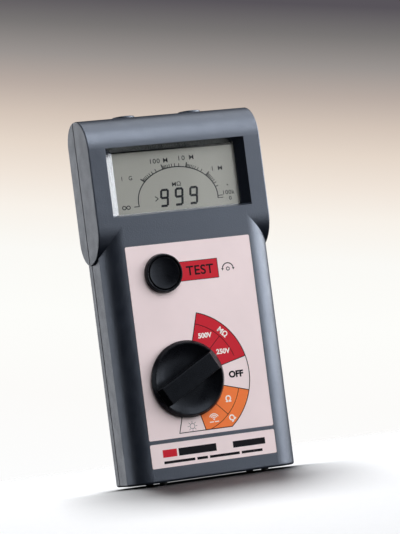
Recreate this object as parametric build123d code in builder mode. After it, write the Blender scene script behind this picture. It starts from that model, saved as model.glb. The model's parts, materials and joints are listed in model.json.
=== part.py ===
"""Handheld insulation resistance tester, standing on its lower end.

Frame: X runs to the right seen from the front, Y runs backwards, Z runs up along the case.
The origin is on the floor, under the middle of the bounding box. "Depth" always means the
distance behind the flat front face; "height" is measured from the floor. All sizes are in mm.
"""

import os

from build123d import *

# ---------------------------------------------------------------- driving dimensions
HEAD_WIDTH = 98.0
BODY_WIDTH = 95.8
CASE_HEIGHT = 195.0
CASE_DEPTH = 32.0
KNOB_PROUD = 6.5
FOOT_HEIGHT = 1.4
WALL = 2.2
PARTING_DEPTH = 19.8
PARTING_GAP = 1.0
FIT = 0.2

FRONT_Y = KNOB_PROUD - (CASE_DEPTH + KNOB_PROUD) / 2
CASE_BOTTOM = FOOT_HEIGHT
CASE_TOP = CASE_BOTTOM + CASE_HEIGHT

# head: a rounded bar across the case; each corner of its side profile has its own radius
HEAD_LOW = CASE_BOTTOM + 118.0
HEAD_RADII = {"front_top": 17.0, "back_top": 13.0, "back_low": 13.6, "front_low": 18.2}
HEAD_EDGE = 0.7

# body: flat front and back, shouldered to flat sides that start at a crease
FLAT_HALF = 35.6
FRONT_CREASE = 8.0
BACK_CREASE = 25.0
BODY_LOWER_EDGE = 1.3

# labels
LABEL_WIDTH = 70.9
LABEL_THICKNESS = 0.3
LABEL_RECESS = 0.35
LABEL_GAP = 0.25
LABEL_LOW = CASE_BOTTOM + 22.25
LABEL_HIGH = CASE_BOTTOM + 124.95
PLATE_LOW = CASE_BOTTOM + 7.6
PLATE_HIGH = CASE_BOTTOM + 20.25

# display
BEVEL_OUTER = {"x": 39.6, "low": CASE_BOTTOM + 141.0, "high": CASE_BOTTOM + 177.9}
BEVEL_INNER = {"x": 35.0, "low": CASE_BOTTOM + 142.5, "high": CASE_BOTTOM + 175.6}
BEVEL_DEPTH = 4.0
WINDOW_DEPTH = 4.4
WINDOW_THICKNESS = 1.2
DISPLAY_BLOCK_DEPTH = 5.8
LCD_DEPTH = 5.9
LCD_THICKNESS = 2.4

# circuit board
BOARD_DEPTH = 10.0
BOARD_THICKNESS = 1.6
BOARD_HALF = 37.3
BOARD_LOW = CASE_BOTTOM + 5.5
BOARD_HIGH = CASE_BOTTOM + 182.0
BOARD_SCREWS = [(x, CASE_BOTTOM + z) for x in (-33.0, 33.0) for z in (12.0, 130.0)]
BOARD_BACK = BOARD_DEPTH + BOARD_THICKNESS

# range knob
KNOB_X = -9.97
KNOB_Z = CASE_BOTTOM + 52.4
KNOB_RADIUS = 20.4
KNOB_RIM_RADIUS = 19.2
KNOB_RIM_HEIGHT = 3.3
KNOB_UNDERSIDE = 0.5
KNOB_BAR_WIDTH = 10.2
KNOB_REST_ANGLE = 29.0
SPINDLE_RADIUS = 3.0
RUNNING_CLEARANCE = 0.06
RANGE_POSITIONS = 12

# test button
BUTTON_X = -15.9
BUTTON_Z = CASE_BOTTOM + 109.2
COLLAR_RADIUS = 10.6
COLLAR_PROUD = 2.4
CAP_RADIUS = 8.75
CAP_GAP = 0.3
BUTTON_TRAVEL = 1.8

# test sockets on the top end
SOCKET_X = 19.0
SOCKET_DEPTH = 22.5
SOCKET_BORE = 2.0
SHROUD_RADIUS = 6.25
SOCKET_HOLE_LOW = CASE_TOP - 10.0
SHROUD_TOP = CASE_TOP + 1.1
SHROUD_LOW = CASE_BOTTOM + 168.0

# cells, fuse and their compartment in the back
CELL_RADIUS = 7.2
CELL_PITCH = 14.8
CELL_LENGTH = 49.5
CELL_DEPTH = 22.2
FIRST_CELL_X = -26.4
TRAY_HALF = 34.2
TRAY_LOW = CASE_BOTTOM + 12.0
TRAY_HIGH = CASE_BOTTOM + 72.0
TRAY_FLOOR = 14.7
TRAY_WALL = 1.5
COVER_HALF = 35.2
COVER_LOW = CASE_BOTTOM + 8.5
COVER_HIGH = CASE_BOTTOM + 80.0
COVER_THICKNESS = 2.1
COVER_SCREW_X = 25.0
COVER_SCREW_Z = CASE_BOTTOM + 76.3
FUSE_X = 30.2
FUSE_LOW = CASE_BOTTOM + 26.0
FUSE_LENGTH = 32.0
FUSE_RADIUS = 3.15
FUSE_DEPTH = 21.0

# case screws: lower pair in the body, upper pair in the head
CASE_SCREWS = [(-42.5, CASE_BOTTOM + 9.0), (42.5, CASE_BOTTOM + 9.0)]
CASE_SCREWS += [(-43.6, CASE_BOTTOM + 184.0), (43.6, CASE_BOTTOM + 184.0)]
SCREW_SHANK = 1.5
SCREW_HEAD = 2.8
SCREW_HEAD_HEIGHT = 2.2
SCREW_HEAD_DEPTH = 24.0
CASE_SCREW_TIP = 8.0
BOARD_SCREW_SHANK = 1.0

os.makedirs("parts", exist_ok=True)


# ---------------------------------------------------------------- helpers
def depth_plane(depth):
    """Plane parallel to the front face; its local y is Z, and negative extrusion goes backwards."""
    return Plane.XZ.offset(-(FRONT_Y + depth))


def save(part, name):
    part.label = name
    export_step(part, f"parts/{name}.step")


def body_solid(inset):
    """Lower case: the shouldered section drawn up into the head."""
    half = BODY_WIDTH / 2
    with BuildPart() as body:
        with BuildSketch(Plane.XY.offset(CASE_BOTTOM + inset)):
            with BuildLine():
                Line((0, FRONT_Y), (FLAT_HALF, FRONT_Y))
                shoulder = TangentArc((FLAT_HALF, FRONT_Y), (half, FRONT_Y + FRONT_CREASE), tangent=(1, 0))
                Line(shoulder @ 1, (half, FRONT_Y + BACK_CREASE))
                back_y = FRONT_Y + CASE_DEPTH
                TangentArc((FLAT_HALF, back_y), (half, FRONT_Y + BACK_CREASE), tangent=(1, 0))
                Line((FLAT_HALF, back_y), (0, back_y))
                mirror(about=Plane.YZ)
            make_face()
            if inset:
                offset(amount=-inset, mode=Mode.REPLACE)
        extrude(amount=HEAD_LOW + CASE_DEPTH - CASE_BOTTOM - inset)
        if not inset:
            fillet(body.faces().sort_by(Axis.Z)[0].edges(), BODY_LOWER_EDGE)
    return body.part


def head_solid(inset):
    """Upper case: the rounded bar, with a small edge round its flat ends."""
    front, back = FRONT_Y + inset, FRONT_Y + CASE_DEPTH - inset
    low, high = HEAD_LOW + inset, CASE_TOP - inset
    corners = [(front, high), (back, high), (back, low), (front, low)]
    radii = [radius - inset for radius in HEAD_RADII.values()]
    with BuildPart() as head:
        with BuildSketch(Plane.YZ.offset(inset - HEAD_WIDTH / 2)):
            with BuildLine():
                FilletPolyline(*corners, radius=radii, close=True)
            make_face()
        extrude(amount=HEAD_WIDTH - 2 * inset)
        if not inset:
            fillet(head.faces().filter_by(Axis.X).edges(), HEAD_EDGE)
    return head.part


def case_solid(inset=0.0):
    with BuildPart() as solid:
        add(body_solid(inset))
        add(head_solid(inset))
    return solid.part


def half_space(front_depth, back_depth):
    """Block as wide and tall as the case, between two depths."""
    with BuildPart() as block:
        with BuildSketch(depth_plane(front_depth)):
            with Locations((0, CASE_HEIGHT / 2)):
                Rectangle(2 * HEAD_WIDTH, 2 * CASE_HEIGHT)
        extrude(amount=front_depth - back_depth)
    return block.part


def rectangle_between(left, right, low, high):
    with Locations(((left + right) / 2, (low + high) / 2)):
        Rectangle(right - left, high - low)


def bar(left, right, low, high, front, back, mode=Mode.ADD):
    """Rectangular block given by its limits in X, height and depth."""
    with BuildSketch(depth_plane(front)) as outline:
        rectangle_between(left, right, low, high)
    extrude(outline.sketch, amount=front - back, mode=mode)


def rods(points, radius, front, back, mode=Mode.ADD):
    """Cylinders along the depth, one at each (X, height)."""
    with BuildSketch(depth_plane(front)) as circles:
        with Locations(*points):
            Circle(radius)
    extrude(circles.sketch, amount=front - back, mode=mode)


def upright_rods(points, radius, low, high, mode=Mode.ADD):
    """Cylinders along Z, one at each (X, depth)."""
    with BuildSketch(Plane.XY.offset(low)) as circles:
        with Locations(*[(x, FRONT_Y + depth) for x, depth in points]):
            Circle(radius)
    extrude(circles.sketch, amount=high - low, mode=mode)


def depth_ring(centre, outer, inner, front, back):
    """Ring about an axis along the depth."""
    with BuildPart() as ring:
        rods([centre], outer, front, back)
        rods([centre], inner, front, back, Mode.SUBTRACT)
    return ring.part


KNOB = (KNOB_X, KNOB_Z)
BUTTON = (BUTTON_X, BUTTON_Z)
SOCKETS = [(-SOCKET_X, SOCKET_DEPTH), (SOCKET_X, SOCKET_DEPTH)]
COVER_SCREWS = [(-COVER_SCREW_X, COVER_SCREW_Z), (COVER_SCREW_X, COVER_SCREW_Z)]
FRONT_EDGE = PARTING_DEPTH - PARTING_GAP / 2
BACK_EDGE = PARTING_DEPTH + PARTING_GAP / 2
FAR = 2 * CASE_DEPTH

# ---------------------------------------------------------------- case halves
case_outline = case_solid()
case_cavity = case_solid(WALL)
BUSH_RADIUS = 5.4
BUSH_FLANGE = 7.4
COLLAR_NECK = 9.8
BOSS_RADIUS = 3.5
POST_RADIUS = 4.2
STANDOFF_RADIUS = 2.6
DISPLAY_FRAME = 1.6
WINDOW_SEAT = 1.6
LEAF_X = KNOB_X - 14.9
LEAF_THICKNESS = 0.5
LEAF_HALF = 10.5
LEAF_FRONT = 4.4
LEAF_BACK = 6.4
LEAF_POST_WIDTH = 2.5
LEAF_POST_HALF = 1.5
BLIND_HOLE_FLOOR = 1.0
FOOT_RADIUS = 2.0
FOOT_STUB = 1.2
FOOT_STUB_LENGTH = 1.6
FEET = [(x, depth) for x in (-29.0, 29.0) for depth in (4.2, 26.0)]
SCREW_FIT = 0.05


def window_pocket(margin):
    """Limits of the pocket behind the display opening, less a margin."""
    reach = WINDOW_SEAT - margin
    side = BEVEL_INNER["x"] + reach
    return -side, side, BEVEL_INNER["low"] - reach, BEVEL_INNER["high"] + reach


with BuildPart() as front_case:
    add(case_outline)
    add(case_cavity, mode=Mode.SUBTRACT)
    add(half_space(FRONT_EDGE, FAR), mode=Mode.SUBTRACT)
    # frame behind the display opening, screw bosses, board standoffs and leaf spring posts
    side = BEVEL_OUTER["x"] + DISPLAY_FRAME
    low = BEVEL_OUTER["low"] - DISPLAY_FRAME
    bar(-side, side, low, BEVEL_OUTER["high"] + DISPLAY_FRAME, WALL / 2, DISPLAY_BLOCK_DEPTH)
    rods(CASE_SCREWS, BOSS_RADIUS, WALL / 2, PARTING_DEPTH)
    rods(BOARD_SCREWS, STANDOFF_RADIUS, WALL / 2, BOARD_DEPTH)
    post_x = LEAF_X - LEAF_THICKNESS / 2
    for end in (-1, 1):
        post_z = KNOB_Z + end * LEAF_HALF
        bar(post_x - LEAF_POST_WIDTH, post_x, post_z - LEAF_POST_HALF, post_z + LEAF_POST_HALF,
            WALL / 2, LEAF_BACK)
    add(case_outline, mode=Mode.INTERSECT)
    # display opening: bevelled mouth, a short straight step, then the window's pocket
    with BuildSketch(depth_plane(0)):
        rectangle_between(-BEVEL_OUTER["x"], BEVEL_OUTER["x"], BEVEL_OUTER["low"], BEVEL_OUTER["high"])
    with BuildSketch(depth_plane(BEVEL_DEPTH)):
        rectangle_between(-BEVEL_INNER["x"], BEVEL_INNER["x"], BEVEL_INNER["low"], BEVEL_INNER["high"])
    loft(mode=Mode.SUBTRACT)
    bar(*window_pocket(WINDOW_SEAT), BEVEL_DEPTH, WINDOW_DEPTH, Mode.SUBTRACT)
    bar(*window_pocket(0), WINDOW_DEPTH, DISPLAY_BLOCK_DEPTH, Mode.SUBTRACT)
    # label recesses, then the holes for knob, button, screws, sockets and feet
    side = LABEL_WIDTH / 2 + LABEL_GAP
    bar(-side, side, LABEL_LOW - LABEL_GAP, LABEL_HIGH + LABEL_GAP, 0, LABEL_RECESS, Mode.SUBTRACT)
    bar(-side, side, PLATE_LOW - LABEL_GAP, PLATE_HIGH + LABEL_GAP, 0, LABEL_RECESS, Mode.SUBTRACT)
    rods([KNOB], BUSH_RADIUS, 0, 2 * WALL, Mode.SUBTRACT)
    rods([BUTTON], COLLAR_NECK, 0, 2 * WALL, Mode.SUBTRACT)
    rods(CASE_SCREWS, SCREW_SHANK, 2 * WALL, PARTING_DEPTH, Mode.SUBTRACT)
    rods(BOARD_SCREWS, BOARD_SCREW_SHANK, WALL + BLIND_HOLE_FLOOR, BOARD_DEPTH, Mode.SUBTRACT)
    upright_rods(SOCKETS, SHROUD_RADIUS, SOCKET_HOLE_LOW, CASE_TOP + WALL, Mode.SUBTRACT)
    upright_rods(FEET, FOOT_STUB, CASE_BOTTOM, CASE_BOTTOM + FOOT_STUB_LENGTH, Mode.SUBTRACT)
save(front_case.part, "front_case")

REAR_LABEL_HALF = 30.0
REAR_LABEL_LOW = CASE_BOTTOM + 104.0
REAR_LABEL_HIGH = CASE_BOTTOM + 156.0
REAR_LABEL_FRONT = CASE_DEPTH - LABEL_RECESS
LEDGE_BACK = CASE_DEPTH - COVER_THICKNESS
LEDGE_THICKNESS = 2.0
LEDGE_SIDE = 2.0
COVER_BOSS_FRONT = BACK_EDGE + 1.0

with BuildPart() as rear_case:
    add(case_outline)
    add(case_cavity, mode=Mode.SUBTRACT)
    add(half_space(-FAR, BACK_EDGE), mode=Mode.SUBTRACT)
    # screw posts, the cell tray, the ledge that the battery cover lies on, and its screw posts
    rods(CASE_SCREWS, POST_RADIUS, BACK_EDGE, CASE_DEPTH - WALL / 2)
    side = TRAY_HALF + TRAY_WALL
    low, high = TRAY_LOW - TRAY_WALL, TRAY_HIGH + TRAY_WALL
    bar(-side, side, low, high, TRAY_FLOOR - TRAY_WALL, CASE_DEPTH - WALL / 2)
    side = COVER_HALF + LEDGE_SIDE
    bar(-side, side, COVER_LOW - LEDGE_SIDE, COVER_HIGH + LEDGE_SIDE, LEDGE_BACK - LEDGE_THICKNESS,
        CASE_DEPTH - WALL / 2)
    rods(COVER_SCREWS, BOSS_RADIUS, COVER_BOSS_FRONT, LEDGE_BACK)
    add(case_outline, mode=Mode.INTERSECT)
    # cover opening, tray cavity
    side = COVER_HALF + FIT
    bar(-side, side, COVER_LOW - FIT, COVER_HIGH + FIT, LEDGE_BACK, CASE_DEPTH, Mode.SUBTRACT)
    bar(-TRAY_HALF, TRAY_HALF, TRAY_LOW, TRAY_HIGH, TRAY_FLOOR, CASE_DEPTH, Mode.SUBTRACT)
    # screw holes with sunk seats, label recess, socket and foot holes
    rods(CASE_SCREWS, SCREW_SHANK + FIT, PARTING_DEPTH, SCREW_HEAD_DEPTH, Mode.SUBTRACT)
    rods(CASE_SCREWS, SCREW_HEAD + FIT, SCREW_HEAD_DEPTH, CASE_DEPTH, Mode.SUBTRACT)
    hole_floor = COVER_BOSS_FRONT + BLIND_HOLE_FLOOR
    rods(COVER_SCREWS, SCREW_SHANK + SCREW_FIT, hole_floor, CASE_DEPTH, Mode.SUBTRACT)
    side = REAR_LABEL_HALF + LABEL_GAP
    low, high = REAR_LABEL_LOW - LABEL_GAP, REAR_LABEL_HIGH + LABEL_GAP
    bar(-side, side, low, high, REAR_LABEL_FRONT, CASE_DEPTH, Mode.SUBTRACT)
    upright_rods(SOCKETS, SHROUD_RADIUS, SOCKET_HOLE_LOW, CASE_TOP + WALL, Mode.SUBTRACT)
    upright_rods(FEET, FOOT_STUB, CASE_BOTTOM, CASE_BOTTOM + FOOT_STUB_LENGTH, Mode.SUBTRACT)
save(rear_case.part, "rear_case")

SEAL_RECESS = 0.6
SEAL_WIDTH = 1.1
with BuildPart() as case_seal:
    add(case_solid(SEAL_RECESS))
    add(case_solid(SEAL_RECESS + SEAL_WIDTH), mode=Mode.SUBTRACT)
    add(half_space(FRONT_EDGE, BACK_EDGE), mode=Mode.INTERSECT)
    upright_rods(SOCKETS, SHROUD_RADIUS, SOCKET_HOLE_LOW, CASE_TOP + WALL, Mode.SUBTRACT)
save(case_seal.part, "case_seal")


CROSS_LENGTH = 1.3
CROSS_WIDTH = 0.28
HEAD_ROUNDING = 0.4


def cross_head_screws(points, shank, head, seat, tip, head_height):
    """Pan-head screws driven from the back; the recess is a plain cross, in shares of the head."""
    with BuildPart() as screws:
        rods(points, shank, tip, seat)
        rods(points, head, seat, seat + head_height)
        top_edges = screws.faces().sort_by(Axis.Y)[-len(points):].edges()
        fillet(top_edges, head_height * HEAD_ROUNDING)
        with BuildSketch(depth_plane(seat + head_height)) as crosses:
            with Locations(*points):
                Rectangle(head * CROSS_LENGTH, head * CROSS_WIDTH)
                Rectangle(head * CROSS_WIDTH, head * CROSS_LENGTH)
        extrude(crosses.sketch, amount=head_height / 2, mode=Mode.SUBTRACT)
    return screws.part


case_screws = cross_head_screws(CASE_SCREWS, SCREW_SHANK, SCREW_HEAD, SCREW_HEAD_DEPTH,
                                CASE_SCREW_TIP, SCREW_HEAD_HEIGHT)
save(case_screws, "case_screws")

FOOT_CHAMFER = 0.4
with BuildPart() as end_feet:
    upright_rods(FEET, FOOT_RADIUS, 0, FOOT_HEIGHT)
    chamfer(end_feet.faces().sort_by(Axis.Z)[:len(FEET)].edges(), FOOT_CHAMFER)
    upright_rods(FEET, FOOT_STUB, FOOT_HEIGHT, FOOT_HEIGHT + FOOT_STUB_LENGTH)
save(end_feet.part, "end_feet")

# ---------------------------------------------------------------- labels
LABEL_CORNER = 0.8


def plate(half, low, high, front, holes=()):
    """Thin rectangular label with slightly rounded corners; holes are (centre, radius)."""
    with BuildPart() as sheet:
        with BuildSketch(depth_plane(front)) as face:
            rectangle_between(-half, half, low, high)
            fillet(face.vertices(), LABEL_CORNER)
            for (x, z), radius in holes:
                with Locations((x, z)):
                    Circle(radius, mode=Mode.SUBTRACT)
        extrude(amount=-LABEL_THICKNESS)
    return sheet.part


label_front = LABEL_RECESS - LABEL_THICKNESS
label_holes = [(KNOB, BUSH_RADIUS), (BUTTON, COLLAR_NECK)]
save(plate(LABEL_WIDTH / 2, LABEL_LOW, LABEL_HIGH, label_front, label_holes), "control_label")
save(plate(LABEL_WIDTH / 2, PLATE_LOW, PLATE_HIGH, label_front), "name_plate")
save(plate(REAR_LABEL_HALF, REAR_LABEL_LOW, REAR_LABEL_HIGH, REAR_LABEL_FRONT), "rear_label")

# ---------------------------------------------------------------- display
with BuildPart() as display_window:
    bar(*window_pocket(FIT / 2), WINDOW_DEPTH, WINDOW_DEPTH + WINDOW_THICKNESS)
save(display_window.part, "display_window")

GASKET_WIDTH = 1.2
with BuildPart() as window_gasket:
    gasket_front = WINDOW_DEPTH + WINDOW_THICKNESS
    bar(*window_pocket(FIT / 2), gasket_front, LCD_DEPTH)
    bar(*window_pocket(FIT / 2 + GASKET_WIDTH), gasket_front, LCD_DEPTH, Mode.SUBTRACT)
save(window_gasket.part, "window_gasket")

LCD_LEDGE = 1.2
LCD_LEDGE_THICKNESS = LCD_THICKNESS / 2
left, right, low, high = window_pocket(FIT / 2)
with BuildPart() as lcd_glass:
    # front glass, and a longer back glass whose ledge carries the contacts
    bar(left, right, low + LCD_LEDGE, high, LCD_DEPTH, LCD_DEPTH + LCD_LEDGE_THICKNESS)
    bar(left, right, low, high, LCD_DEPTH + LCD_LEDGE_THICKNESS, LCD_DEPTH + LCD_THICKNESS)
save(lcd_glass.part, "lcd_glass")

HOLDER_WALL = 1.6
HOLDER_FRONT = LCD_DEPTH + FIT / 2
with BuildPart() as lcd_holder:
    bar(*window_pocket(-HOLDER_WALL), HOLDER_FRONT, BOARD_DEPTH)
    bar(*window_pocket(0), HOLDER_FRONT, BOARD_DEPTH, Mode.SUBTRACT)
save(lcd_holder.part, "lcd_holder")

STRIP_HEIGHT = 2.0
STRIP_EDGE = 0.5
STRIP_END = 2.0
with BuildPart() as contact_strips:
    strip_front = LCD_DEPTH + LCD_THICKNESS
    for strip_low in (low + STRIP_EDGE, high - STRIP_EDGE - STRIP_HEIGHT):
        strip_high = strip_low + STRIP_HEIGHT
        bar(left + STRIP_END, right - STRIP_END, strip_low, strip_high, strip_front, BOARD_DEPTH)
save(contact_strips.part, "contact_strips")

# ---------------------------------------------------------------- range knob and rotary switch
DISH_RADIUS = 18.6
DISH_FLAT_RADIUS = 9.0
DISH_FLOOR = 1.2
BAR_END = 18.9
BAR_CHAMFER = 2.6
BAR_EDGE = 0.4
SPINDLE_FRONT = -2.0
SPINDLE_BACK = 9.3
CLIP_DEPTH = 3.75
CLIP_BACK = 4.15
CLIP_RADIUS = SPINDLE_RADIUS + 1.8
CLIP_OPENING_HALF = 1.6
GROOVE_RADIUS = SPINDLE_RADIUS - 0.6
SPINDLE_CHAMFER = 0.3
SKIRT_EDGE = 1.0
BUSH_BACK = 3.5
WHEEL_FRONT = 4.3
WHEEL_BACK = 6.5
WHEEL_RADIUS = 12.0
NOTCH_RADIUS = 1.3
ROTOR_FRONT = 6.9
ROTOR_BACK = 8.3
ROTOR_RADIUS = 13.0
knob_plane = Plane(origin=(KNOB_X, FRONT_Y, KNOB_Z), x_dir=(1, 0, 0), z_dir=(0, -1, 0))
knob_section = Plane(origin=(KNOB_X, FRONT_Y, KNOB_Z), x_dir=(1, 0, 0), z_dir=(0, 0, 1))
knob_axis = Axis((KNOB_X, FRONT_Y, KNOB_Z), (0, -1, 0))


with BuildPart() as range_knob:
    # dished disc; the section's y is the depth behind the front face
    skirt_top = KNOB_UNDERSIDE + SKIRT_EDGE
    with BuildSketch(knob_section):
        with BuildLine():
            dish_floor = Line((0, -DISH_FLOOR), (DISH_FLAT_RADIUS, -DISH_FLOOR))
            dish_side = TangentArc(dish_floor @ 1, (DISH_RADIUS, -KNOB_RIM_HEIGHT), tangent=(1, 0))
            Polyline(dish_side @ 1, (KNOB_RIM_RADIUS, -KNOB_RIM_HEIGHT), (KNOB_RADIUS, -skirt_top),
                     (KNOB_RADIUS, -KNOB_UNDERSIDE), (0, -KNOB_UNDERSIDE), dish_floor @ 0)
        make_face()
    revolve(axis=knob_axis)
    # grip bar across the dish, sloped at both ends
    with BuildSketch(knob_plane.offset(KNOB_UNDERSIDE)) as grip:
        Rectangle(2 * BAR_END, KNOB_BAR_WIDTH, rotation=KNOB_REST_ANGLE)
    extrude(grip.sketch, amount=KNOB_PROUD - KNOB_UNDERSIDE)
    bar_top = range_knob.faces().sort_by(Axis.Y)[0]
    chamfer(bar_top.edges().sort_by(SortBy.LENGTH)[:2], BAR_CHAMFER)
    bar_top = range_knob.faces().sort_by(Axis.Y)[0]
    fillet(bar_top.edges().sort_by(SortBy.LENGTH)[-2:], BAR_EDGE)
    rods([KNOB], SPINDLE_RADIUS, SPINDLE_FRONT, 0, Mode.SUBTRACT)
save(range_knob.part, "range_knob")

with BuildPart() as knob_spindle:
    rods([KNOB], SPINDLE_RADIUS, SPINDLE_FRONT, SPINDLE_BACK)
    add(depth_ring(KNOB, SPINDLE_RADIUS + 1, GROOVE_RADIUS, CLIP_DEPTH, CLIP_BACK), mode=Mode.SUBTRACT)
    chamfer(knob_spindle.faces().sort_by(Axis.Y)[-1].edges(), SPINDLE_CHAMFER)
save(knob_spindle.part, "knob_spindle")

with BuildPart() as knob_clip:
    # open retaining ring that sits in the spindle's groove
    rods([KNOB], CLIP_RADIUS, CLIP_DEPTH, CLIP_BACK)
    rods([KNOB], GROOVE_RADIUS, CLIP_DEPTH, CLIP_BACK, Mode.SUBTRACT)
    bar(KNOB_X - CLIP_OPENING_HALF, KNOB_X + CLIP_OPENING_HALF, KNOB_Z - 2 * CLIP_RADIUS, KNOB_Z,
        CLIP_DEPTH, CLIP_BACK, Mode.SUBTRACT)
save(knob_clip.part, "knob_clip")

SEAL_SECTION = 0.75
SEAL_POCKET_BACK = 2.2
with BuildPart() as spindle_bush:
    rods([KNOB], BUSH_RADIUS, LABEL_RECESS, BUSH_BACK)
    rods([KNOB], BUSH_FLANGE, WALL, BUSH_BACK)
    bore = SPINDLE_RADIUS + RUNNING_CLEARANCE
    rods([KNOB], bore, 0, BUSH_BACK, Mode.SUBTRACT)
    rods([KNOB], bore + 2 * SEAL_SECTION, 0, SEAL_POCKET_BACK, Mode.SUBTRACT)
save(spindle_bush.part, "spindle_bush")

with BuildPart() as spindle_seal:
    ring_radius = SPINDLE_RADIUS + RUNNING_CLEARANCE + SEAL_SECTION
    ring_centre = (KNOB_X + ring_radius, FRONT_Y + SEAL_POCKET_BACK - SEAL_SECTION)
    with BuildSketch(Plane.XY.offset(KNOB_Z)) as section:
        with Locations(ring_centre):
            Circle(SEAL_SECTION)
    revolve(section.sketch, axis=knob_axis)
save(spindle_seal.part, "spindle_seal")

with BuildPart() as detent_wheel:
    rods([KNOB], WHEEL_RADIUS, WHEEL_FRONT, WHEEL_BACK)
    with BuildSketch(knob_plane.offset(-WHEEL_FRONT)) as notches:
        with PolarLocations(WHEEL_RADIUS + NOTCH_RADIUS / 3, RANGE_POSITIONS, start_angle=180):
            Circle(NOTCH_RADIUS)
    extrude(notches.sketch, amount=WHEEL_FRONT - WHEEL_BACK, mode=Mode.SUBTRACT)
    rods([KNOB], SPINDLE_RADIUS, WHEEL_FRONT, WHEEL_BACK, Mode.SUBTRACT)
save(detent_wheel.part, "detent_wheel")

NOSE_REACH = 2.1
NOSE_HALF = 1.6
LEAF_END = LEAF_HALF + 2.0
with BuildPart() as detent_spring:
    # flat leaf with a bent nose that faces the wheel's notches
    with BuildSketch(depth_plane(LEAF_FRONT)) as leaf:
        with BuildLine() as centre_line:
            lower = Line((LEAF_X, KNOB_Z - LEAF_END), (LEAF_X, KNOB_Z - NOSE_HALF))
            ThreePointArc(lower @ 1, (LEAF_X + NOSE_REACH, KNOB_Z), (LEAF_X, KNOB_Z + NOSE_HALF))
            Line((LEAF_X, KNOB_Z + NOSE_HALF), (LEAF_X, KNOB_Z + LEAF_END))
            offset(amount=LEAF_THICKNESS / 2, side=Side.BOTH)
        make_face()
    extrude(amount=LEAF_FRONT - LEAF_BACK)
save(detent_spring.part, "detent_spring")

HUB_RADIUS = 5.0
with BuildPart() as switch_rotor:
    rods([KNOB], ROTOR_RADIUS, ROTOR_FRONT, ROTOR_BACK)
    rods([KNOB], HUB_RADIUS, ROTOR_BACK, SPINDLE_BACK)
    rods([KNOB], SPINDLE_RADIUS, ROTOR_FRONT, SPINDLE_BACK, Mode.SUBTRACT)
save(switch_rotor.part, "switch_rotor")

WIPER_COUNT = 3
WIPER_CENTRE = 8.8
WIPER_HEIGHT = 1.3
WIPER_WIDTH = 2.4
WIPER_LENGTH = 6.0
WIPER_SHEET = 0.35
WIPER_TIP = 1.4
WIPER_TIP_OFFSET = 1.8
with BuildPart() as wiper_contacts:
    # stepped leaf contacts on the back of the rotor
    with BuildSketch(knob_plane.offset(-ROTOR_BACK)) as feet:
        with PolarLocations(WIPER_CENTRE, WIPER_COUNT):
            Rectangle(WIPER_LENGTH, WIPER_WIDTH)
    extrude(feet.sketch, amount=-WIPER_SHEET)
    with BuildSketch(knob_plane.offset(-ROTOR_BACK)) as tips:
        with PolarLocations(WIPER_CENTRE + WIPER_TIP_OFFSET, WIPER_COUNT):
            Rectangle(WIPER_TIP, WIPER_WIDTH)
    extrude(tips.sketch, amount=-WIPER_HEIGHT)
save(wiper_contacts.part, "wiper_contacts")

# ---------------------------------------------------------------- test button
COLLAR_TOP_RADIUS = 10.1
COLLAR_EDGE = 0.35
BASE_FRONT = 5.9
BASE_BACK = 6.9
CAP_FRONT = -2.3
CAP_BACK = 1.4
CAP_DISH = 0.95
CAP_EDGE = 0.6
STEM_RADIUS = 2.6
STEM_BACK = 7.2
STEM_CHAMFER = 0.4
STEM_HEAD_RADIUS = 4.0
STEM_HEAD_FRONT = -0.4
WIRE_RADIUS = 0.25
SPRING_RADIUS = 5.2
SPRING_TURNS = 4
SPRING_SEAT = WIRE_RADIUS + 0.05
button_plane = Plane(origin=(BUTTON_X, FRONT_Y, BUTTON_Z), x_dir=(1, 0, 0), z_dir=(0, 0, 1))
button_axis = Axis((BUTTON_X, FRONT_Y, BUTTON_Z), (0, -1, 0))

with BuildPart() as button_collar:
    # the profile's y is the depth behind the front face
    inner = CAP_RADIUS + CAP_GAP
    guide = STEM_RADIUS + RUNNING_CLEARANCE
    with BuildSketch(button_plane) as profile:
        with BuildLine():
            Polyline((guide, BASE_FRONT), (inner, BASE_FRONT), (inner, -COLLAR_PROUD),
                     (COLLAR_TOP_RADIUS, -COLLAR_PROUD), (COLLAR_RADIUS, 0), (COLLAR_NECK, 0),
                     (COLLAR_NECK, BASE_BACK), (guide, BASE_BACK), close=True)
        make_face()
    revolve(axis=button_axis)
    fillet(button_collar.faces().sort_by(Axis.Y)[0].edges(), COLLAR_EDGE)
save(button_collar.part, "button_collar")

with BuildPart() as test_button:
    # dished cap, open behind for the plunger's head
    head_clearance = STEM_HEAD_RADIUS + RUNNING_CLEARANCE
    pocket_front = STEM_HEAD_FRONT - RUNNING_CLEARANCE
    cap_rim = CAP_RADIUS - CAP_EDGE
    dish_middle = cap_rim / 2
    with BuildSketch(button_plane) as profile:
        with BuildLine():
            ThreePointArc((0, CAP_FRONT + CAP_DISH), (dish_middle, CAP_FRONT + 3 * CAP_DISH / 4),
                          (cap_rim, CAP_FRONT))
            Polyline((cap_rim, CAP_FRONT), (CAP_RADIUS, CAP_FRONT + CAP_EDGE), (CAP_RADIUS, CAP_BACK),
                     (head_clearance, CAP_BACK), (head_clearance, pocket_front), (0, pocket_front),
                     (0, CAP_FRONT + CAP_DISH))
        make_face()
    revolve(axis=button_axis)
save(test_button.part, "test_button")

with BuildPart() as button_plunger:
    rods([BUTTON], STEM_HEAD_RADIUS, STEM_HEAD_FRONT, CAP_BACK)
    rods([BUTTON], STEM_RADIUS, CAP_BACK, STEM_BACK)
    chamfer(button_plunger.faces().sort_by(Axis.Y)[-1].edges(), STEM_CHAMFER)
save(button_plunger.part, "button_plunger")

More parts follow.
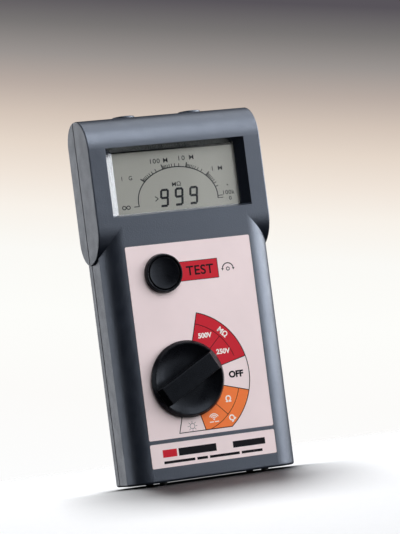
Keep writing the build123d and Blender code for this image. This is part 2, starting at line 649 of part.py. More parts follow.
with BuildPart() as button_spring:
    coil_front = CAP_BACK + SPRING_SEAT
    coil_length = BASE_FRONT - SPRING_SEAT - coil_front
    with BuildLine() as coil:
        Helix(coil_length / SPRING_TURNS, coil_length, SPRING_RADIUS,
              center=(BUTTON_X, FRONT_Y + coil_front, BUTTON_Z), direction=(0, 1, 0))
    with BuildSketch(Plane(coil.line @ 0, z_dir=coil.line % 0)):
        Circle(WIRE_RADIUS)
    sweep()
save(button_spring.part, "button_spring")

DOME_RADIUS = 4.0
DOME_HEIGHT = 0.7
DOME_EDGE = 0.25
SWITCH_HALF = 4.5
SWITCH_BASE = 0.4
with BuildPart() as dome_switch:
    # low tactile switch under the plunger: square base with a round dome
    bar(BUTTON_X - SWITCH_HALF, BUTTON_X + SWITCH_HALF, BUTTON_Z - SWITCH_HALF, BUTTON_Z + SWITCH_HALF,
        BOARD_DEPTH - SWITCH_BASE, BOARD_DEPTH)
    rods([BUTTON], DOME_RADIUS, BOARD_DEPTH - DOME_HEIGHT, BOARD_DEPTH - SWITCH_BASE)
    fillet(dome_switch.faces().sort_by(Axis.Y)[0].edges(), DOME_EDGE)
save(dome_switch.part, "dome_switch")

# ---------------------------------------------------------------- circuit board and what is on its back
BOARD_CORNER = 2.0
BOARD_HOLE = 1.6
with BuildPart() as main_board:
    with BuildSketch(depth_plane(BOARD_DEPTH)) as board_face:
        rectangle_between(-BOARD_HALF, BOARD_HALF, BOARD_LOW, BOARD_HIGH)
        fillet(board_face.vertices(), BOARD_CORNER)
        with Locations(*BOARD_SCREWS):
            Circle(BOARD_HOLE, mode=Mode.SUBTRACT)
    extrude(amount=-BOARD_THICKNESS)
save(main_board.part, "main_board")

BOARD_SCREW_HEAD = 2.2
BOARD_SCREW_TIP = 4.5
LOW_HEAD_HEIGHT = 1.2
board_screws = cross_head_screws(BOARD_SCREWS, BOARD_SCREW_SHANK, BOARD_SCREW_HEAD, BOARD_BACK,
                                 BOARD_SCREW_TIP, LOW_HEAD_HEIGHT)
save(board_screws, "board_screws")

CHIPS = [(-24.0, 148.0, 16.0, 12.0), (24.0, 150.0, 12.0, 12.0), (24.0, 132.0, 8.0, 10.0)]
CHIP_STANDOFF = 0.3
CHIP_THICKNESS = 1.8
LEAD_PITCH = 2.0
LEAD_WIDTH = 0.7
LEAD_REACH = 1.4
LEAD_THICKNESS = 1.08
with BuildPart() as chips:
    for x, z, width, height in CHIPS:
        middle = CASE_BOTTOM + z
        bar(x - width / 2, x + width / 2, middle - height / 2, middle + height / 2,
            BOARD_BACK + CHIP_STANDOFF, BOARD_BACK + CHIP_STANDOFF + CHIP_THICKNESS)
        lead_count = int(height / LEAD_PITCH)
        with BuildSketch(depth_plane(BOARD_BACK)) as leads:
            with Locations((x, middle)):
                with GridLocations(width + LEAD_REACH, LEAD_PITCH, 2, lead_count):
                    Rectangle(LEAD_REACH, LEAD_WIDTH)
        extrude(leads.sketch, amount=-LEAD_THICKNESS)
save(chips.part, "chips")

TRANSFORMER_X = -14.0
TRANSFORMER_Z = CASE_BOTTOM + 100.0
TRANSFORMER_DEPTH = BOARD_BACK + 1.0
CORE_WIDTH = 26.0
CORE_HEIGHT = 20.0
CORE_THICKNESS = 9.0
CORE_LEG = 4.0
COIL_THICKNESS = 14.0
COIL_CORNER = 2.0
core_front = TRANSFORMER_DEPTH + (COIL_THICKNESS - CORE_THICKNESS) / 2
core_window = (CORE_WIDTH - 3 * CORE_LEG) / 2
core_leg_half = CORE_LEG / 2
coil_half = core_leg_half + core_window - FIT
with BuildPart() as transformer_core:
    # frame core with a middle leg
    with BuildSketch(depth_plane(core_front)):
        with Locations((TRANSFORMER_X, TRANSFORMER_Z)):
            Rectangle(CORE_WIDTH, CORE_HEIGHT)
            with GridLocations(CORE_LEG + core_window, 0, 2, 1):
                Rectangle(core_window, CORE_HEIGHT - 2 * CORE_LEG, mode=Mode.SUBTRACT)
    extrude(amount=-CORE_THICKNESS)
save(transformer_core.part, "transformer_core")

with BuildPart() as transformer_coil:
    coil_low = TRANSFORMER_Z - CORE_HEIGHT / 2 + CORE_LEG + FIT / 2
    coil_high = TRANSFORMER_Z + CORE_HEIGHT / 2 - CORE_LEG - FIT / 2
    bar(TRANSFORMER_X - coil_half, TRANSFORMER_X + coil_half, coil_low, coil_high,
        TRANSFORMER_DEPTH, TRANSFORMER_DEPTH + COIL_THICKNESS)
    fillet(transformer_coil.edges().filter_by(Axis.Z), COIL_CORNER)
    slot_half = core_leg_half + FIT / 2
    bar(TRANSFORMER_X - slot_half, TRANSFORMER_X + slot_half, coil_low, coil_high,
        core_front - FIT / 2, core_front + CORE_THICKNESS + FIT / 2, Mode.SUBTRACT)
save(transformer_coil.part, "transformer_coil")

CAPACITORS = [(8.0, 92.0), (19.0, 92.0)]
CAPACITOR_RADIUS = 5.0
CAPACITOR_LENGTH = 22.0
CRIMP_LOW = 2.0
CRIMP_HIGH = 3.0
CRIMP_DEPTH = 0.7
with BuildPart() as capacitors:
    # cans lying along the board, crimped near one end
    centre_depth = BOARD_BACK + CAPACITOR_RADIUS
    for x, z in CAPACITORS:
        low = CASE_BOTTOM + z
        spot = [(x, centre_depth)]
        upright_rods(spot, CAPACITOR_RADIUS, low, low + CAPACITOR_LENGTH)
        upright_rods(spot, CAPACITOR_RADIUS + CRIMP_DEPTH, low + CRIMP_LOW, low + CRIMP_HIGH, Mode.SUBTRACT)
        upright_rods(spot, CAPACITOR_RADIUS - CRIMP_DEPTH, low + CRIMP_LOW, low + CRIMP_HIGH)
save(capacitors.part, "capacitors")

RELAYS = [(30.0, 92.0), (30.0, 108.0)]
RELAY_SIZE = (9.0, 13.0, 11.0)
RELAY_ROUNDING = 0.8
RELAY_CHAMFER = 0.4
with BuildPart() as relays:
    width, height, thickness = RELAY_SIZE
    for x, z in RELAYS:
        low = CASE_BOTTOM + z
        bar(x - width / 2, x + width / 2, low, low + height, BOARD_BACK, BOARD_BACK + thickness)
    fillet(relays.edges().filter_by(Axis.Y), RELAY_ROUNDING)
    chamfer(relays.faces().sort_by(Axis.Y)[-len(RELAYS):].edges(), RELAY_CHAMFER)
save(relays.part, "relays")

BUZZER = (-12.0, CASE_BOTTOM + 126.0)
BUZZER_RADIUS = 8.5
BUZZER_HEIGHT = 6.0
BUZZER_EDGE = 0.8
BUZZER_PORT = 1.4
with BuildPart() as buzzer:
    rods([BUZZER], BUZZER_RADIUS, BOARD_BACK, BOARD_BACK + BUZZER_HEIGHT)
    fillet(buzzer.faces().sort_by(Axis.Y)[-1].edges(), BUZZER_EDGE)
    rods([BUZZER], BUZZER_PORT, BOARD_BACK + BUZZER_HEIGHT / 2, FAR, Mode.SUBTRACT)
save(buzzer.part, "buzzer")

# ---------------------------------------------------------------- test sockets
SLEEVE_RADIUS = 3.3
SLEEVE_TOP = SHROUD_TOP - 1.6
ANNULUS_RADIUS = 4.95
ANNULUS_LOW = SHROUD_TOP - 13.0
CONTACT_RADIUS = 2.6
CONTACT_TOP = SHROUD_TOP - 4.0
CONTACT_FLOOR = SHROUD_LOW + 2.0
FLANGE_RADIUS = 7.0
SHROUD_EDGE = 0.5
FLANGE_LOW = CASE_BOTTOM + 182.0
FLANGE_HIGH = CASE_BOTTOM + 184.2


def socket_shroud(spot):
    """Insulator: collar and shroud wall outside, sleeve round the contact inside."""
    with BuildPart() as shroud:
        upright_rods([spot], SHROUD_RADIUS - FIT / 2, SHROUD_LOW, SHROUD_TOP)
        fillet(shroud.faces().sort_by(Axis.Z)[-1].edges(), SHROUD_EDGE)
        upright_rods([spot], FLANGE_RADIUS, FLANGE_LOW, FLANGE_HIGH)
        upright_rods([spot], ANNULUS_RADIUS, ANNULUS_LOW, SHROUD_TOP, Mode.SUBTRACT)
        upright_rods([spot], SLEEVE_RADIUS, ANNULUS_LOW, SLEEVE_TOP)
        upright_rods([spot], SOCKET_BORE + FIT / 2, CONTACT_TOP, SHROUD_TOP, Mode.SUBTRACT)
        upright_rods([spot], CONTACT_RADIUS, SHROUD_LOW, CONTACT_TOP, Mode.SUBTRACT)
    return shroud.part


def socket_contact(spot):
    """Metal tube that takes a 4 mm plug; closed at its lower end."""
    with BuildPart() as contact:
        upright_rods([spot], CONTACT_RADIUS, SHROUD_LOW, CONTACT_TOP)
        upright_rods([spot], SOCKET_BORE, CONTACT_FLOOR, CONTACT_TOP, Mode.SUBTRACT)
    return contact.part


for side_name, spot in zip(("left", "right"), SOCKETS):
    save(socket_shroud(spot), f"{side_name}_socket_shroud")
    save(socket_contact(spot), f"{side_name}_socket_contact")

LINK_WIDTH = 4.0
LINK_THICKNESS = 0.8
LINK_LOW = SHROUD_LOW - 6.0
with BuildPart() as socket_links:
    # bent straps from each contact's lower end to the board
    for x, depth in SOCKETS:
        half, strap = LINK_WIDTH / 2, LINK_THICKNESS / 2
        bar(x - half, x + half, LINK_LOW, SHROUD_LOW, depth - strap, depth + strap)
        bar(x - half, x + half, LINK_LOW, LINK_LOW + LINK_THICKNESS, BOARD_BACK, depth + strap)
save(socket_links.part, "socket_links")

# ---------------------------------------------------------------- cells and fuse
CONTACT_PLATE = 0.5
NUB_RADIUS = 2.6
NUB_HEIGHT = 1.2
CELL_EDGE = 0.6
PLATE_SIZE = 10.0
SPRING_WIRE = 0.4
CELL_SPRING_RADIUS = 3.4
CELL_SPRING_TURNS = 3
CELL_SPRING_PLAY = 0.04
CELL_COUNT = 4
cell_spots = [(FIRST_CELL_X + CELL_PITCH * i, CELL_DEPTH) for i in range(CELL_COUNT)]
FIXED_LOW = TRAY_LOW + CONTACT_PLATE
FIXED_HIGH = TRAY_HIGH - CONTACT_PLATE


def nub_up(index):
    return index % 2 == 0


def cell_limits(index):
    """Lower and upper end of a cell; its nub rests on a plate, a spring pushes its flat end."""
    if nub_up(index):
        return FIXED_HIGH - CELL_LENGTH, FIXED_HIGH
    return FIXED_LOW, FIXED_LOW + CELL_LENGTH


def battery_cell(index):
    spot = [cell_spots[index]]
    low, high = cell_limits(index)
    body_low = low if nub_up(index) else low + NUB_HEIGHT
    body_high = high - NUB_HEIGHT if nub_up(index) else high
    with BuildPart() as cell:
        upright_rods(spot, CELL_RADIUS, body_low, body_high)
        fillet(cell.edges().filter_by(GeomType.CIRCLE), CELL_EDGE)
        if nub_up(index):
            upright_rods(spot, NUB_RADIUS, body_high, high)
        else:
            upright_rods(spot, NUB_RADIUS, low, body_low)
    return cell.part


for index in range(len(cell_spots)):
    save(battery_cell(index), f"cell_{index + 1}")

with BuildPart() as contact_plates:
    for x, depth in cell_spots:
        for low in (TRAY_LOW, FIXED_HIGH):
            bar(x - PLATE_SIZE / 2, x + PLATE_SIZE / 2, low, low + CONTACT_PLATE,
                depth - PLATE_SIZE / 2, depth + PLATE_SIZE / 2)
save(contact_plates.part, "contact_plates")


def cell_spring(index):
    """Coil between a contact plate and the flat end of a cell."""
    x, depth = cell_spots[index]
    cell_low, cell_high = cell_limits(index)
    gap_low, gap_high = (FIXED_LOW, cell_low) if nub_up(index) else (cell_high, FIXED_HIGH)
    start, length = gap_low + SPRING_WIRE, gap_high - gap_low - 2 * SPRING_WIRE
    with BuildPart() as spring:
        with BuildLine() as coil:
            Helix(length / CELL_SPRING_TURNS, length, CELL_SPRING_RADIUS,
                  center=(x, FRONT_Y + depth, start))
        with BuildSketch(Plane(coil.line @ 0, z_dir=coil.line % 0)):
            Circle(SPRING_WIRE - CELL_SPRING_PLAY)
        sweep()
    return spring.part


springs = Compound([cell_spring(index) for index in range(len(cell_spots))])
save(springs, "cell_springs")

CAP_LENGTH = 6.0
FUSE_CAP_SHEET = 0.3
FUSE_CAP_END = 1.0
FUSE_HIGH = FUSE_LOW + FUSE_LENGTH
fuse_spot = [(FUSE_X, FUSE_DEPTH)]
TUBE_RADIUS = FUSE_RADIUS - FUSE_CAP_SHEET
TUBE_LOW = FUSE_LOW + FUSE_CAP_END
TUBE_HIGH = FUSE_HIGH - FUSE_CAP_END
with BuildPart() as fuse_body:
    upright_rods(fuse_spot, TUBE_RADIUS, TUBE_LOW, TUBE_HIGH)
save(fuse_body.part, "fuse_body")

with BuildPart() as fuse_caps:
    upright_rods(fuse_spot, FUSE_RADIUS, FUSE_LOW, FUSE_LOW + CAP_LENGTH)
    upright_rods(fuse_spot, FUSE_RADIUS, FUSE_HIGH - CAP_LENGTH, FUSE_HIGH)
    upright_rods(fuse_spot, TUBE_RADIUS, TUBE_LOW, TUBE_HIGH, Mode.SUBTRACT)
save(fuse_caps.part, "fuse_caps")

CLIP_WIDTH = 4.0
CLIP_SHEET = 0.4
CLIP_TIP = FUSE_DEPTH + 1.5
with BuildPart() as fuse_clips:
    # U-shaped clips on the tray floor, one round each cap
    inner, outer = FUSE_RADIUS, FUSE_RADIUS + CLIP_SHEET
    for middle in (FUSE_LOW + CAP_LENGTH / 2, FUSE_HIGH - CAP_LENGTH / 2):
        low, high = middle - CLIP_WIDTH / 2, middle + CLIP_WIDTH / 2
        bar(FUSE_X - outer, FUSE_X + outer, low, high, TRAY_FLOOR, CLIP_TIP)
        bar(FUSE_X - inner, FUSE_X + inner, low, high, TRAY_FLOOR + CLIP_SHEET, CLIP_TIP, Mode.SUBTRACT)
save(fuse_clips.part, "fuse_clips")

# ---------------------------------------------------------------- battery cover
COVER_CORNER = 0.2
COVER_SCREW_HEAD = 2.7
COVER_SEAT = CASE_DEPTH - 1.3
COVER_SCREW_TIP = LEDGE_BACK - 6.0
GROOVE_COUNT = 5
GROOVE_HALF = 12.0
GROOVE_WIDTH = 1.2
GROOVE_PITCH = 3.0
GROOVE_DEPTH = 0.6
FIRST_GROOVE = COVER_LOW + 6.0
with BuildPart() as battery_cover:
    with BuildSketch(depth_plane(LEDGE_BACK)) as cover_face:
        rectangle_between(-COVER_HALF, COVER_HALF, COVER_LOW, COVER_HIGH)
        fillet(cover_face.vertices(), COVER_CORNER)
    extrude(amount=-COVER_THICKNESS)
    rods(COVER_SCREWS, SCREW_SHANK + FIT, LEDGE_BACK, CASE_DEPTH, Mode.SUBTRACT)
    rods(COVER_SCREWS, COVER_SCREW_HEAD + FIT, COVER_SEAT, CASE_DEPTH, Mode.SUBTRACT)
    # shallow finger grooves near the lower edge
    for groove in range(GROOVE_COUNT):
        groove_z = FIRST_GROOVE + GROOVE_PITCH * groove
        bar(-GROOVE_HALF, GROOVE_HALF, groove_z, groove_z + GROOVE_WIDTH,
            CASE_DEPTH - GROOVE_DEPTH, CASE_DEPTH, Mode.SUBTRACT)
save(battery_cover.part, "battery_cover")

cover_screws = cross_head_screws(COVER_SCREWS, SCREW_SHANK, COVER_SCREW_HEAD, COVER_SEAT,
                                 COVER_SCREW_TIP, LOW_HEAD_HEIGHT)
save(cover_screws, "cover_screws")
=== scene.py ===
"""Looks for a handheld insulation tester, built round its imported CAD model.

X runs to the right seen from the front, Y backwards and Z up. Blender works in metres; the sizes
named here are in millimetres, and MM turns one into the other.
"""

import json
import math

import bmesh
import bpy
from mathutils import Matrix, Vector


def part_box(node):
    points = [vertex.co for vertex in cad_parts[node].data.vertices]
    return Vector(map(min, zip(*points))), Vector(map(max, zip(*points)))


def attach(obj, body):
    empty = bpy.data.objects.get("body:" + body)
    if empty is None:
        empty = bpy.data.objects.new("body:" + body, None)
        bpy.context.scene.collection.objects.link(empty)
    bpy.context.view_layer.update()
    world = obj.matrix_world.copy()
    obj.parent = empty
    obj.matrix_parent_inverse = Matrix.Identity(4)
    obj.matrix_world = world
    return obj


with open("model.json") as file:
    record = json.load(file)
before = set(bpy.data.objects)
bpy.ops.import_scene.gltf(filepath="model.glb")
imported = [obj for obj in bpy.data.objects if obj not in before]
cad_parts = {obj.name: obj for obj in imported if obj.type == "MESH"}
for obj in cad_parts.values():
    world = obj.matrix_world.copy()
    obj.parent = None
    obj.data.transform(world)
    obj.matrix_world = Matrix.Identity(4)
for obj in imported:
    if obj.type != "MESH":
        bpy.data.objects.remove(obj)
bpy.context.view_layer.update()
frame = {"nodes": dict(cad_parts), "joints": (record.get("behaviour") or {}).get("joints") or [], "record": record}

MM = 0.001


# ---------------------------------------------------------------- places taken from the frame
def box_mm(node):
    low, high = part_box(node)
    return low / MM, high / MM


def joint_centre(name):
    """(x, z) of a turning joint's axis, which runs along the depth."""
    place = next(joint["pos_m"] for joint in frame["joints"] if joint["name"] == name)
    return place[0] / MM, place[2] / MM


KNOB = joint_centre("range_turn")
BUTTON = joint_centre("test_turn")
CASE_LOW = box_mm("front_case")[0]
LABEL_LOW = box_mm("control_label")[0]
PLATE_LOW = box_mm("name_plate")[0]
REAR_LABEL_LOW, REAR_LABEL_HIGH = box_mm("rear_label")
WINDOW_LOW, WINDOW_HIGH = box_mm("display_window")
LCD_LOW = box_mm("lcd_glass")[0]
KNOB_LOW, KNOB_HIGH = box_mm("range_knob")
KNOB_RADIUS = (KNOB_HIGH.x - KNOB_LOW.x) / 2
DISPLAY_RISE = 17.35
DISPLAY = ((WINDOW_LOW.x + WINDOW_HIGH.x) / 2, WINDOW_LOW.z + DISPLAY_RISE)

# ---------------------------------------------------------------- sizes of the print
INK_THICKNESS = 0.02
OUTLINE = 0.45
FINE_LINE = 0.3
MIDDLE_RADIUS = 29.5
OUTER_RADIUS = 35.5
DIAL_LOW = CASE_LOW.z + 24.5
RANGE_STEP = 30.0
FIRST_RANGE = 59.0
ARC_STEP = 2.0


# ---------------------------------------------------------------- node helpers
def add_node(tree, kind, inputs=None, **settings):
    """New node; inputs maps a socket's name or number to a value or to an output socket."""
    node = tree.nodes.new(kind)
    for key, value in settings.items():
        setattr(node, key, value)
    for key, value in (inputs or {}).items():
        if isinstance(value, bpy.types.NodeSocket):
            tree.links.new(value, node.inputs[key])
        else:
            node.inputs[key].default_value = value
    return node


def math_node(tree, operation, *values):
    node = add_node(tree, "ShaderNodeMath", dict(enumerate(values)), operation=operation)
    return node.outputs[0]


def position(tree):
    """The surface point in the object's own frame, in metres."""
    return add_node(tree, "ShaderNodeTexCoord").outputs["Object"]


def noise(tree, size, detail=2.0, stretch=None):
    """Noise with features about size millimetres across; stretch scales it along each axis."""
    place = position(tree)
    if stretch:
        place = add_node(tree, "ShaderNodeMapping", {"Vector": place, "Scale": stretch}).outputs[0]
    inputs = {"Vector": place, "Scale": 1 / (size * MM), "Detail": detail}
    return add_node(tree, "ShaderNodeTexNoise", inputs).outputs["Fac"]


def spread(tree, factor, low, high, start=0.3, end=0.7):
    """Maps a noise factor onto the range from low to high."""
    inputs = {"Value": factor, "From Min": start, "From Max": end, "To Min": low, "To Max": high}
    return add_node(tree, "ShaderNodeMapRange", inputs).outputs[0]


def blend_colors(tree, factor, first, second):
    node = add_node(tree, "ShaderNodeMix", data_type="RGBA")
    sockets = {"Factor": node.inputs[0], "A": node.inputs[6], "B": node.inputs[7]}
    for key, value in (("Factor", factor), ("A", first), ("B", second)):
        if isinstance(value, bpy.types.NodeSocket):
            tree.links.new(value, sockets[key])
        else:
            sockets[key].default_value = value
    return node.outputs[2]


def shade(color, factor):
    """The colour made lighter or darker, as four numbers."""
    return tuple(min(1.0, channel * factor) for channel in color) + (1.0,)


def shades_of(tree, factor, color, darkest, lightest):
    """Shades of one colour, spread over a noise factor."""
    return blend_colors(tree, spread(tree, factor, 0.0, 1.0), shade(color, darkest), shade(color, lightest))


def bump(tree, height, depth):
    """Normal bent by a height socket; depth is the relief in millimetres."""
    inputs = {"Height": height, "Distance": depth * MM, "Strength": 1.0}
    return add_node(tree, "ShaderNodeBump", inputs).outputs["Normal"]


def edge_mask(tree, radius):
    """1 along sharp outer edges, 0 on flat stretches, from how far a rounded normal turns."""
    rounded = add_node(tree, "ShaderNodeBevel", {"Radius": radius * MM}, samples=4).outputs[0]
    true_normal = add_node(tree, "ShaderNodeNewGeometry").outputs["Normal"]
    dot = add_node(tree, "ShaderNodeVectorMath", {0: rounded, 1: true_normal}, operation="DOT_PRODUCT")
    return spread(tree, dot.outputs["Value"], 1.0, 0.0, start=0.88, end=0.995)


def inside_box(tree, low, high):
    """1 inside a box given by two corners in millimetres, else 0."""
    axes = add_node(tree, "ShaderNodeSeparateXYZ", {0: position(tree)})
    mask = 1.0
    for index in range(3):
        above = math_node(tree, "GREATER_THAN", axes.outputs[index], low[index] * MM)
        below = math_node(tree, "LESS_THAN", axes.outputs[index], high[index] * MM)
        mask = math_node(tree, "MULTIPLY", math_node(tree, "MULTIPLY", above, below), mask)
    return mask


def new_material(name, metallic=0.0, specular=0.5, **shader_values):
    material = bpy.data.materials.new(name)
    material.use_nodes = True
    tree = material.node_tree
    shader = tree.nodes["Principled BSDF"]
    shader.inputs["Metallic"].default_value = metallic
    shader.inputs["Specular IOR Level"].default_value = specular
    for key, value in shader_values.items():
        shader.inputs[key.replace("_", " ").title()].default_value = value
    return material, tree, shader


# ---------------------------------------------------------------- materials
def moulded_plastic(name, color, roughness, grain=0.35, relief=0.02, wear=0.25, specular=0.5, ior=1.5,
                    sheen_color=(1.0, 1.0, 1.0), polished=None):
    """Moulded plastic: spark-eroded grain, uneven gloss, faint mottling and paler rubbed edges.

    polished is a box, as two corners in millimetres, inside which the mould left a smooth gloss.
    """
    material, tree, shader = new_material(name, specular=specular)
    shader.inputs["IOR"].default_value = ior
    shader.inputs["Specular Tint"].default_value = sheen_color + (1.0,)
    body_color = shades_of(tree, noise(tree, 14.0, 3.0), color, 0.88, 1.12)
    fine = noise(tree, grain, 2.0)
    body_color = blend_colors(tree, spread(tree, fine, 0.0, 0.5), body_color, shade(color, 0.5))
    patches = spread(tree, noise(tree, 3.0, 4.0), 0.0, wear)
    rubbed = math_node(tree, "MULTIPLY", edge_mask(tree, 0.5), patches)
    pale = tuple(0.35 * channel + 0.10 for channel in color) + (1.0,)
    body_color = blend_colors(tree, rubbed, body_color, pale)
    tree.links.new(body_color, shader.inputs["Base Color"])
    gloss = spread(tree, noise(tree, 6.0, 4.0), roughness - 0.04, roughness + 0.05)
    gloss = math_node(tree, "ADD", gloss, spread(tree, fine, -0.05, 0.05))
    if polished:
        smooth = math_node(tree, "MULTIPLY", inside_box(tree, *polished), roughness - POLISHED_ROUGHNESS)
        gloss = math_node(tree, "SUBTRACT", gloss, smooth)
        tree.links.new(math_node(tree, "MULTIPLY", smooth, COAT_SHARE), shader.inputs["Coat Weight"])
        shader.inputs["Coat Roughness"].default_value = POLISHED_ROUGHNESS
        shader.inputs["Coat IOR"].default_value = POLISHED_IOR
    tree.links.new(gloss, shader.inputs["Roughness"])
    tree.links.new(bump(tree, fine, relief), shader.inputs["Normal"])
    return material


def metal(name, color, roughness):
    """Bright metal with fine drawn lines along the height and small stains."""
    material, tree, shader = new_material(name, metallic=1.0)
    lines = noise(tree, 0.15, 3.0, stretch=(1.0, 1.0, 0.06))
    stains = noise(tree, 2.5, 4.0)
    tint = shades_of(tree, stains, color, 0.82, 1.05)
    tree.links.new(tint, shader.inputs["Base Color"])
    tree.links.new(spread(tree, lines, roughness - 0.06, roughness + 0.1), shader.inputs["Roughness"])
    tree.links.new(bump(tree, lines, 0.004), shader.inputs["Normal"])
    return material


def film(name, color, roughness=0.38, specular=0.28):
    """Printed polyester film: even colour, faint clouding, a slight orange peel and small scuffs."""
    material, tree, shader = new_material(name, specular=specular)
    clouding = noise(tree, 18.0, 3.0)
    tint = shades_of(tree, clouding, color, 0.975, 1.02)
    specks = spread(tree, noise(tree, 0.45, 3.0), 0.0, 0.25, start=0.7, end=0.78)
    tint = blend_colors(tree, specks, tint, shade(color, 0.6))
    tree.links.new(tint, shader.inputs["Base Color"])
    scuffs = noise(tree, 2.0, 5.0, stretch=(1.0, 1.0, 0.25))
    tree.links.new(spread(tree, scuffs, roughness - 0.05, roughness + 0.1), shader.inputs["Roughness"])
    tree.links.new(bump(tree, noise(tree, 0.8, 2.0), 0.003), shader.inputs["Normal"])
    return material


def display_glass(name, color):
    """Liquid crystal panel: a grey-green polariser with fine grain."""
    material, tree, shader = new_material(name, specular=0.3)
    clouding = noise(tree, 25.0, 2.0)
    tint = shades_of(tree, clouding, color, 0.97, 1.03)
    grain = spread(tree, noise(tree, 0.12, 1.0), 0.0, 0.25)
    tint = blend_colors(tree, grain, tint, shade(color, 0.9))
    tree.links.new(tint, shader.inputs["Base Color"])
    tree.links.new(spread(tree, clouding, 0.3, 0.36), shader.inputs["Roughness"])
    tree.links.new(bump(tree, noise(tree, 0.5, 2.0), 0.002), shader.inputs["Normal"])
    return material


def clear_plastic(name):
    """Window: lets light straight through and adds a weak gloss with faint smears."""
    material = bpy.data.materials.new(name)
    material.use_nodes = True
    tree = material.node_tree
    tree.nodes.remove(tree.nodes["Principled BSDF"])
    smears = spread(tree, noise(tree, 8.0, 4.0, stretch=(1.0, 1.0, 0.4)), 0.03, 0.12)
    clear = add_node(tree, "ShaderNodeBsdfTransparent", {"Color": (0.98, 0.985, 0.98, 1.0)})
    gloss = add_node(tree, "ShaderNodeBsdfGlossy", {"Roughness": smears})
    amount = add_node(tree, "ShaderNodeFresnel", {"IOR": 1.45}).outputs[0]
    amount = math_node(tree, "MULTIPLY", amount, 0.6)
    mixed = add_node(tree, "ShaderNodeMixShader", {0: amount, 1: clear.outputs[0], 2: gloss.outputs[0]})
    tree.links.new(mixed.outputs[0], tree.nodes["Material Output"].inputs["Surface"])
    return material


def ceramic(name, color, roughness):
    material, tree, shader = new_material(name)
    speckle = noise(tree, 0.3, 3.0)
    tint = shades_of(tree, speckle, color, 0.9, 1.0)
    tree.links.new(tint, shader.inputs["Base Color"])
    tree.links.new(spread(tree, speckle, roughness - 0.05, roughness + 0.05), shader.inputs["Roughness"])
    tree.links.new(bump(tree, speckle, 0.01), shader.inputs["Normal"])
    return material


def board_laminate(name, color):
    """Green solder mask over copper tracks, which show as a paler square pattern."""
    material, tree, shader = new_material(name)
    place = position(tree)
    tracks = add_node(tree, "ShaderNodeTexBrick", {"Vector": place, "Scale": 220.0, "Mortar Size": 0.04})
    weave = noise(tree, 0.6, 3.0)
    tint = blend_colors(tree, tracks.outputs["Fac"], shade(color, 1.0), shade(color, 1.9))
    tint = blend_colors(tree, spread(tree, weave, 0.0, 0.4), tint, shade(color, 0.7))
    tree.links.new(tint, shader.inputs["Base Color"])
    tree.links.new(spread(tree, weave, 0.25, 0.4), shader.inputs["Roughness"])
    tree.links.new(bump(tree, tracks.outputs["Fac"], 0.03), shader.inputs["Normal"])
    return material


CASE_COLOR = (0.009, 0.013, 0.023)
CASE_SHEEN = (0.74, 0.83, 1.0)
POLISHED_ROUGHNESS = 0.12
POLISHED_IOR = 2.5
COAT_SHARE = 3.8
BEVEL_WIDTH = 3.3
BEVEL_BOX = (Vector((WINDOW_LOW.x - BEVEL_WIDTH, CASE_LOW.y + 0.15, WINDOW_LOW.z + 1.0)),
             Vector((WINDOW_HIGH.x + BEVEL_WIDTH, WINDOW_HIGH.y, WINDOW_HIGH.z + 1.0)))
DARK_PLASTIC = (0.003, 0.0035, 0.005)
LABEL_COLOR = (0.95, 0.80, 0.82)

SLOT_MATERIALS = {
    "case_plastic": moulded_plastic("case_plastic", CASE_COLOR, 0.38, grain=0.7, relief=0.07, specular=1.0,
                                    ior=1.7, sheen_color=CASE_SHEEN, polished=BEVEL_BOX),
    "shroud_plastic": moulded_plastic("shroud_plastic", CASE_COLOR, 0.42, specular=1.0, ior=1.6,
                                      sheen_color=CASE_SHEEN),
    "knob_plastic": moulded_plastic("knob_plastic", DARK_PLASTIC, 0.28, relief=0.008, wear=0.3, specular=0.20,
                                    sheen_color=CASE_SHEEN),
    "black_plastic": moulded_plastic("black_plastic", (0.02, 0.02, 0.022), 0.5),
    "black_rubber": moulded_plastic("black_rubber", (0.012, 0.012, 0.013), 0.65, grain=0.6, specular=0.3),
    "white_plastic": moulded_plastic("white_plastic", (0.72, 0.71, 0.66), 0.4),
    "cell_jacket": moulded_plastic("cell_jacket", (0.06, 0.07, 0.10), 0.25, grain=1.5, relief=0.004),
    "coil_tape": film("coil_tape", (0.70, 0.48, 0.08), 0.3),
    "label_film": film("label_film", LABEL_COLOR),
    "lcd": display_glass("lcd", (0.66, 0.655, 0.62)),
    "clear_window": clear_plastic("clear_window"),
    "spring_steel": metal("spring_steel", (0.62, 0.61, 0.58), 0.25),
    "screw_steel": metal("screw_steel", (0.55, 0.54, 0.50), 0.32),
    "contact_brass": metal("contact_brass", (0.78, 0.58, 0.28), 0.28),
    "can_aluminium": metal("can_aluminium", (0.70, 0.70, 0.72), 0.3),
    "cap_nickel": metal("cap_nickel", (0.70, 0.67, 0.62), 0.2),
    "ferrite": ceramic("ferrite", (0.05, 0.05, 0.055), 0.55),
    "fuse_ceramic": ceramic("fuse_ceramic", (0.82, 0.80, 0.74), 0.6),
    "board_laminate": board_laminate("board_laminate", (0.02, 0.14, 0.06)),
}
RED_INK = film("red_ink", (0.62, 0.008, 0.026))
ORANGE_INK = film("orange_ink", (0.98, 0.22, 0.05))
BLACK_INK = film("black_ink", (0.006, 0.006, 0.009), specular=0.12)
GREY_INK = film("grey_ink", (0.30, 0.28, 0.30))
WHITE_INK = film("white_ink", (0.98, 0.93, 0.90))
SEGMENT_INK = display_glass("segment_ink", (0.022, 0.025, 0.035))

for row in frame["record"]["subparts"]:
    node_object = frame["nodes"][row["node"]]
    node_object.data.materials.clear()
    node_object.data.materials.append(SLOT_MATERIALS[row["material_slot"]])


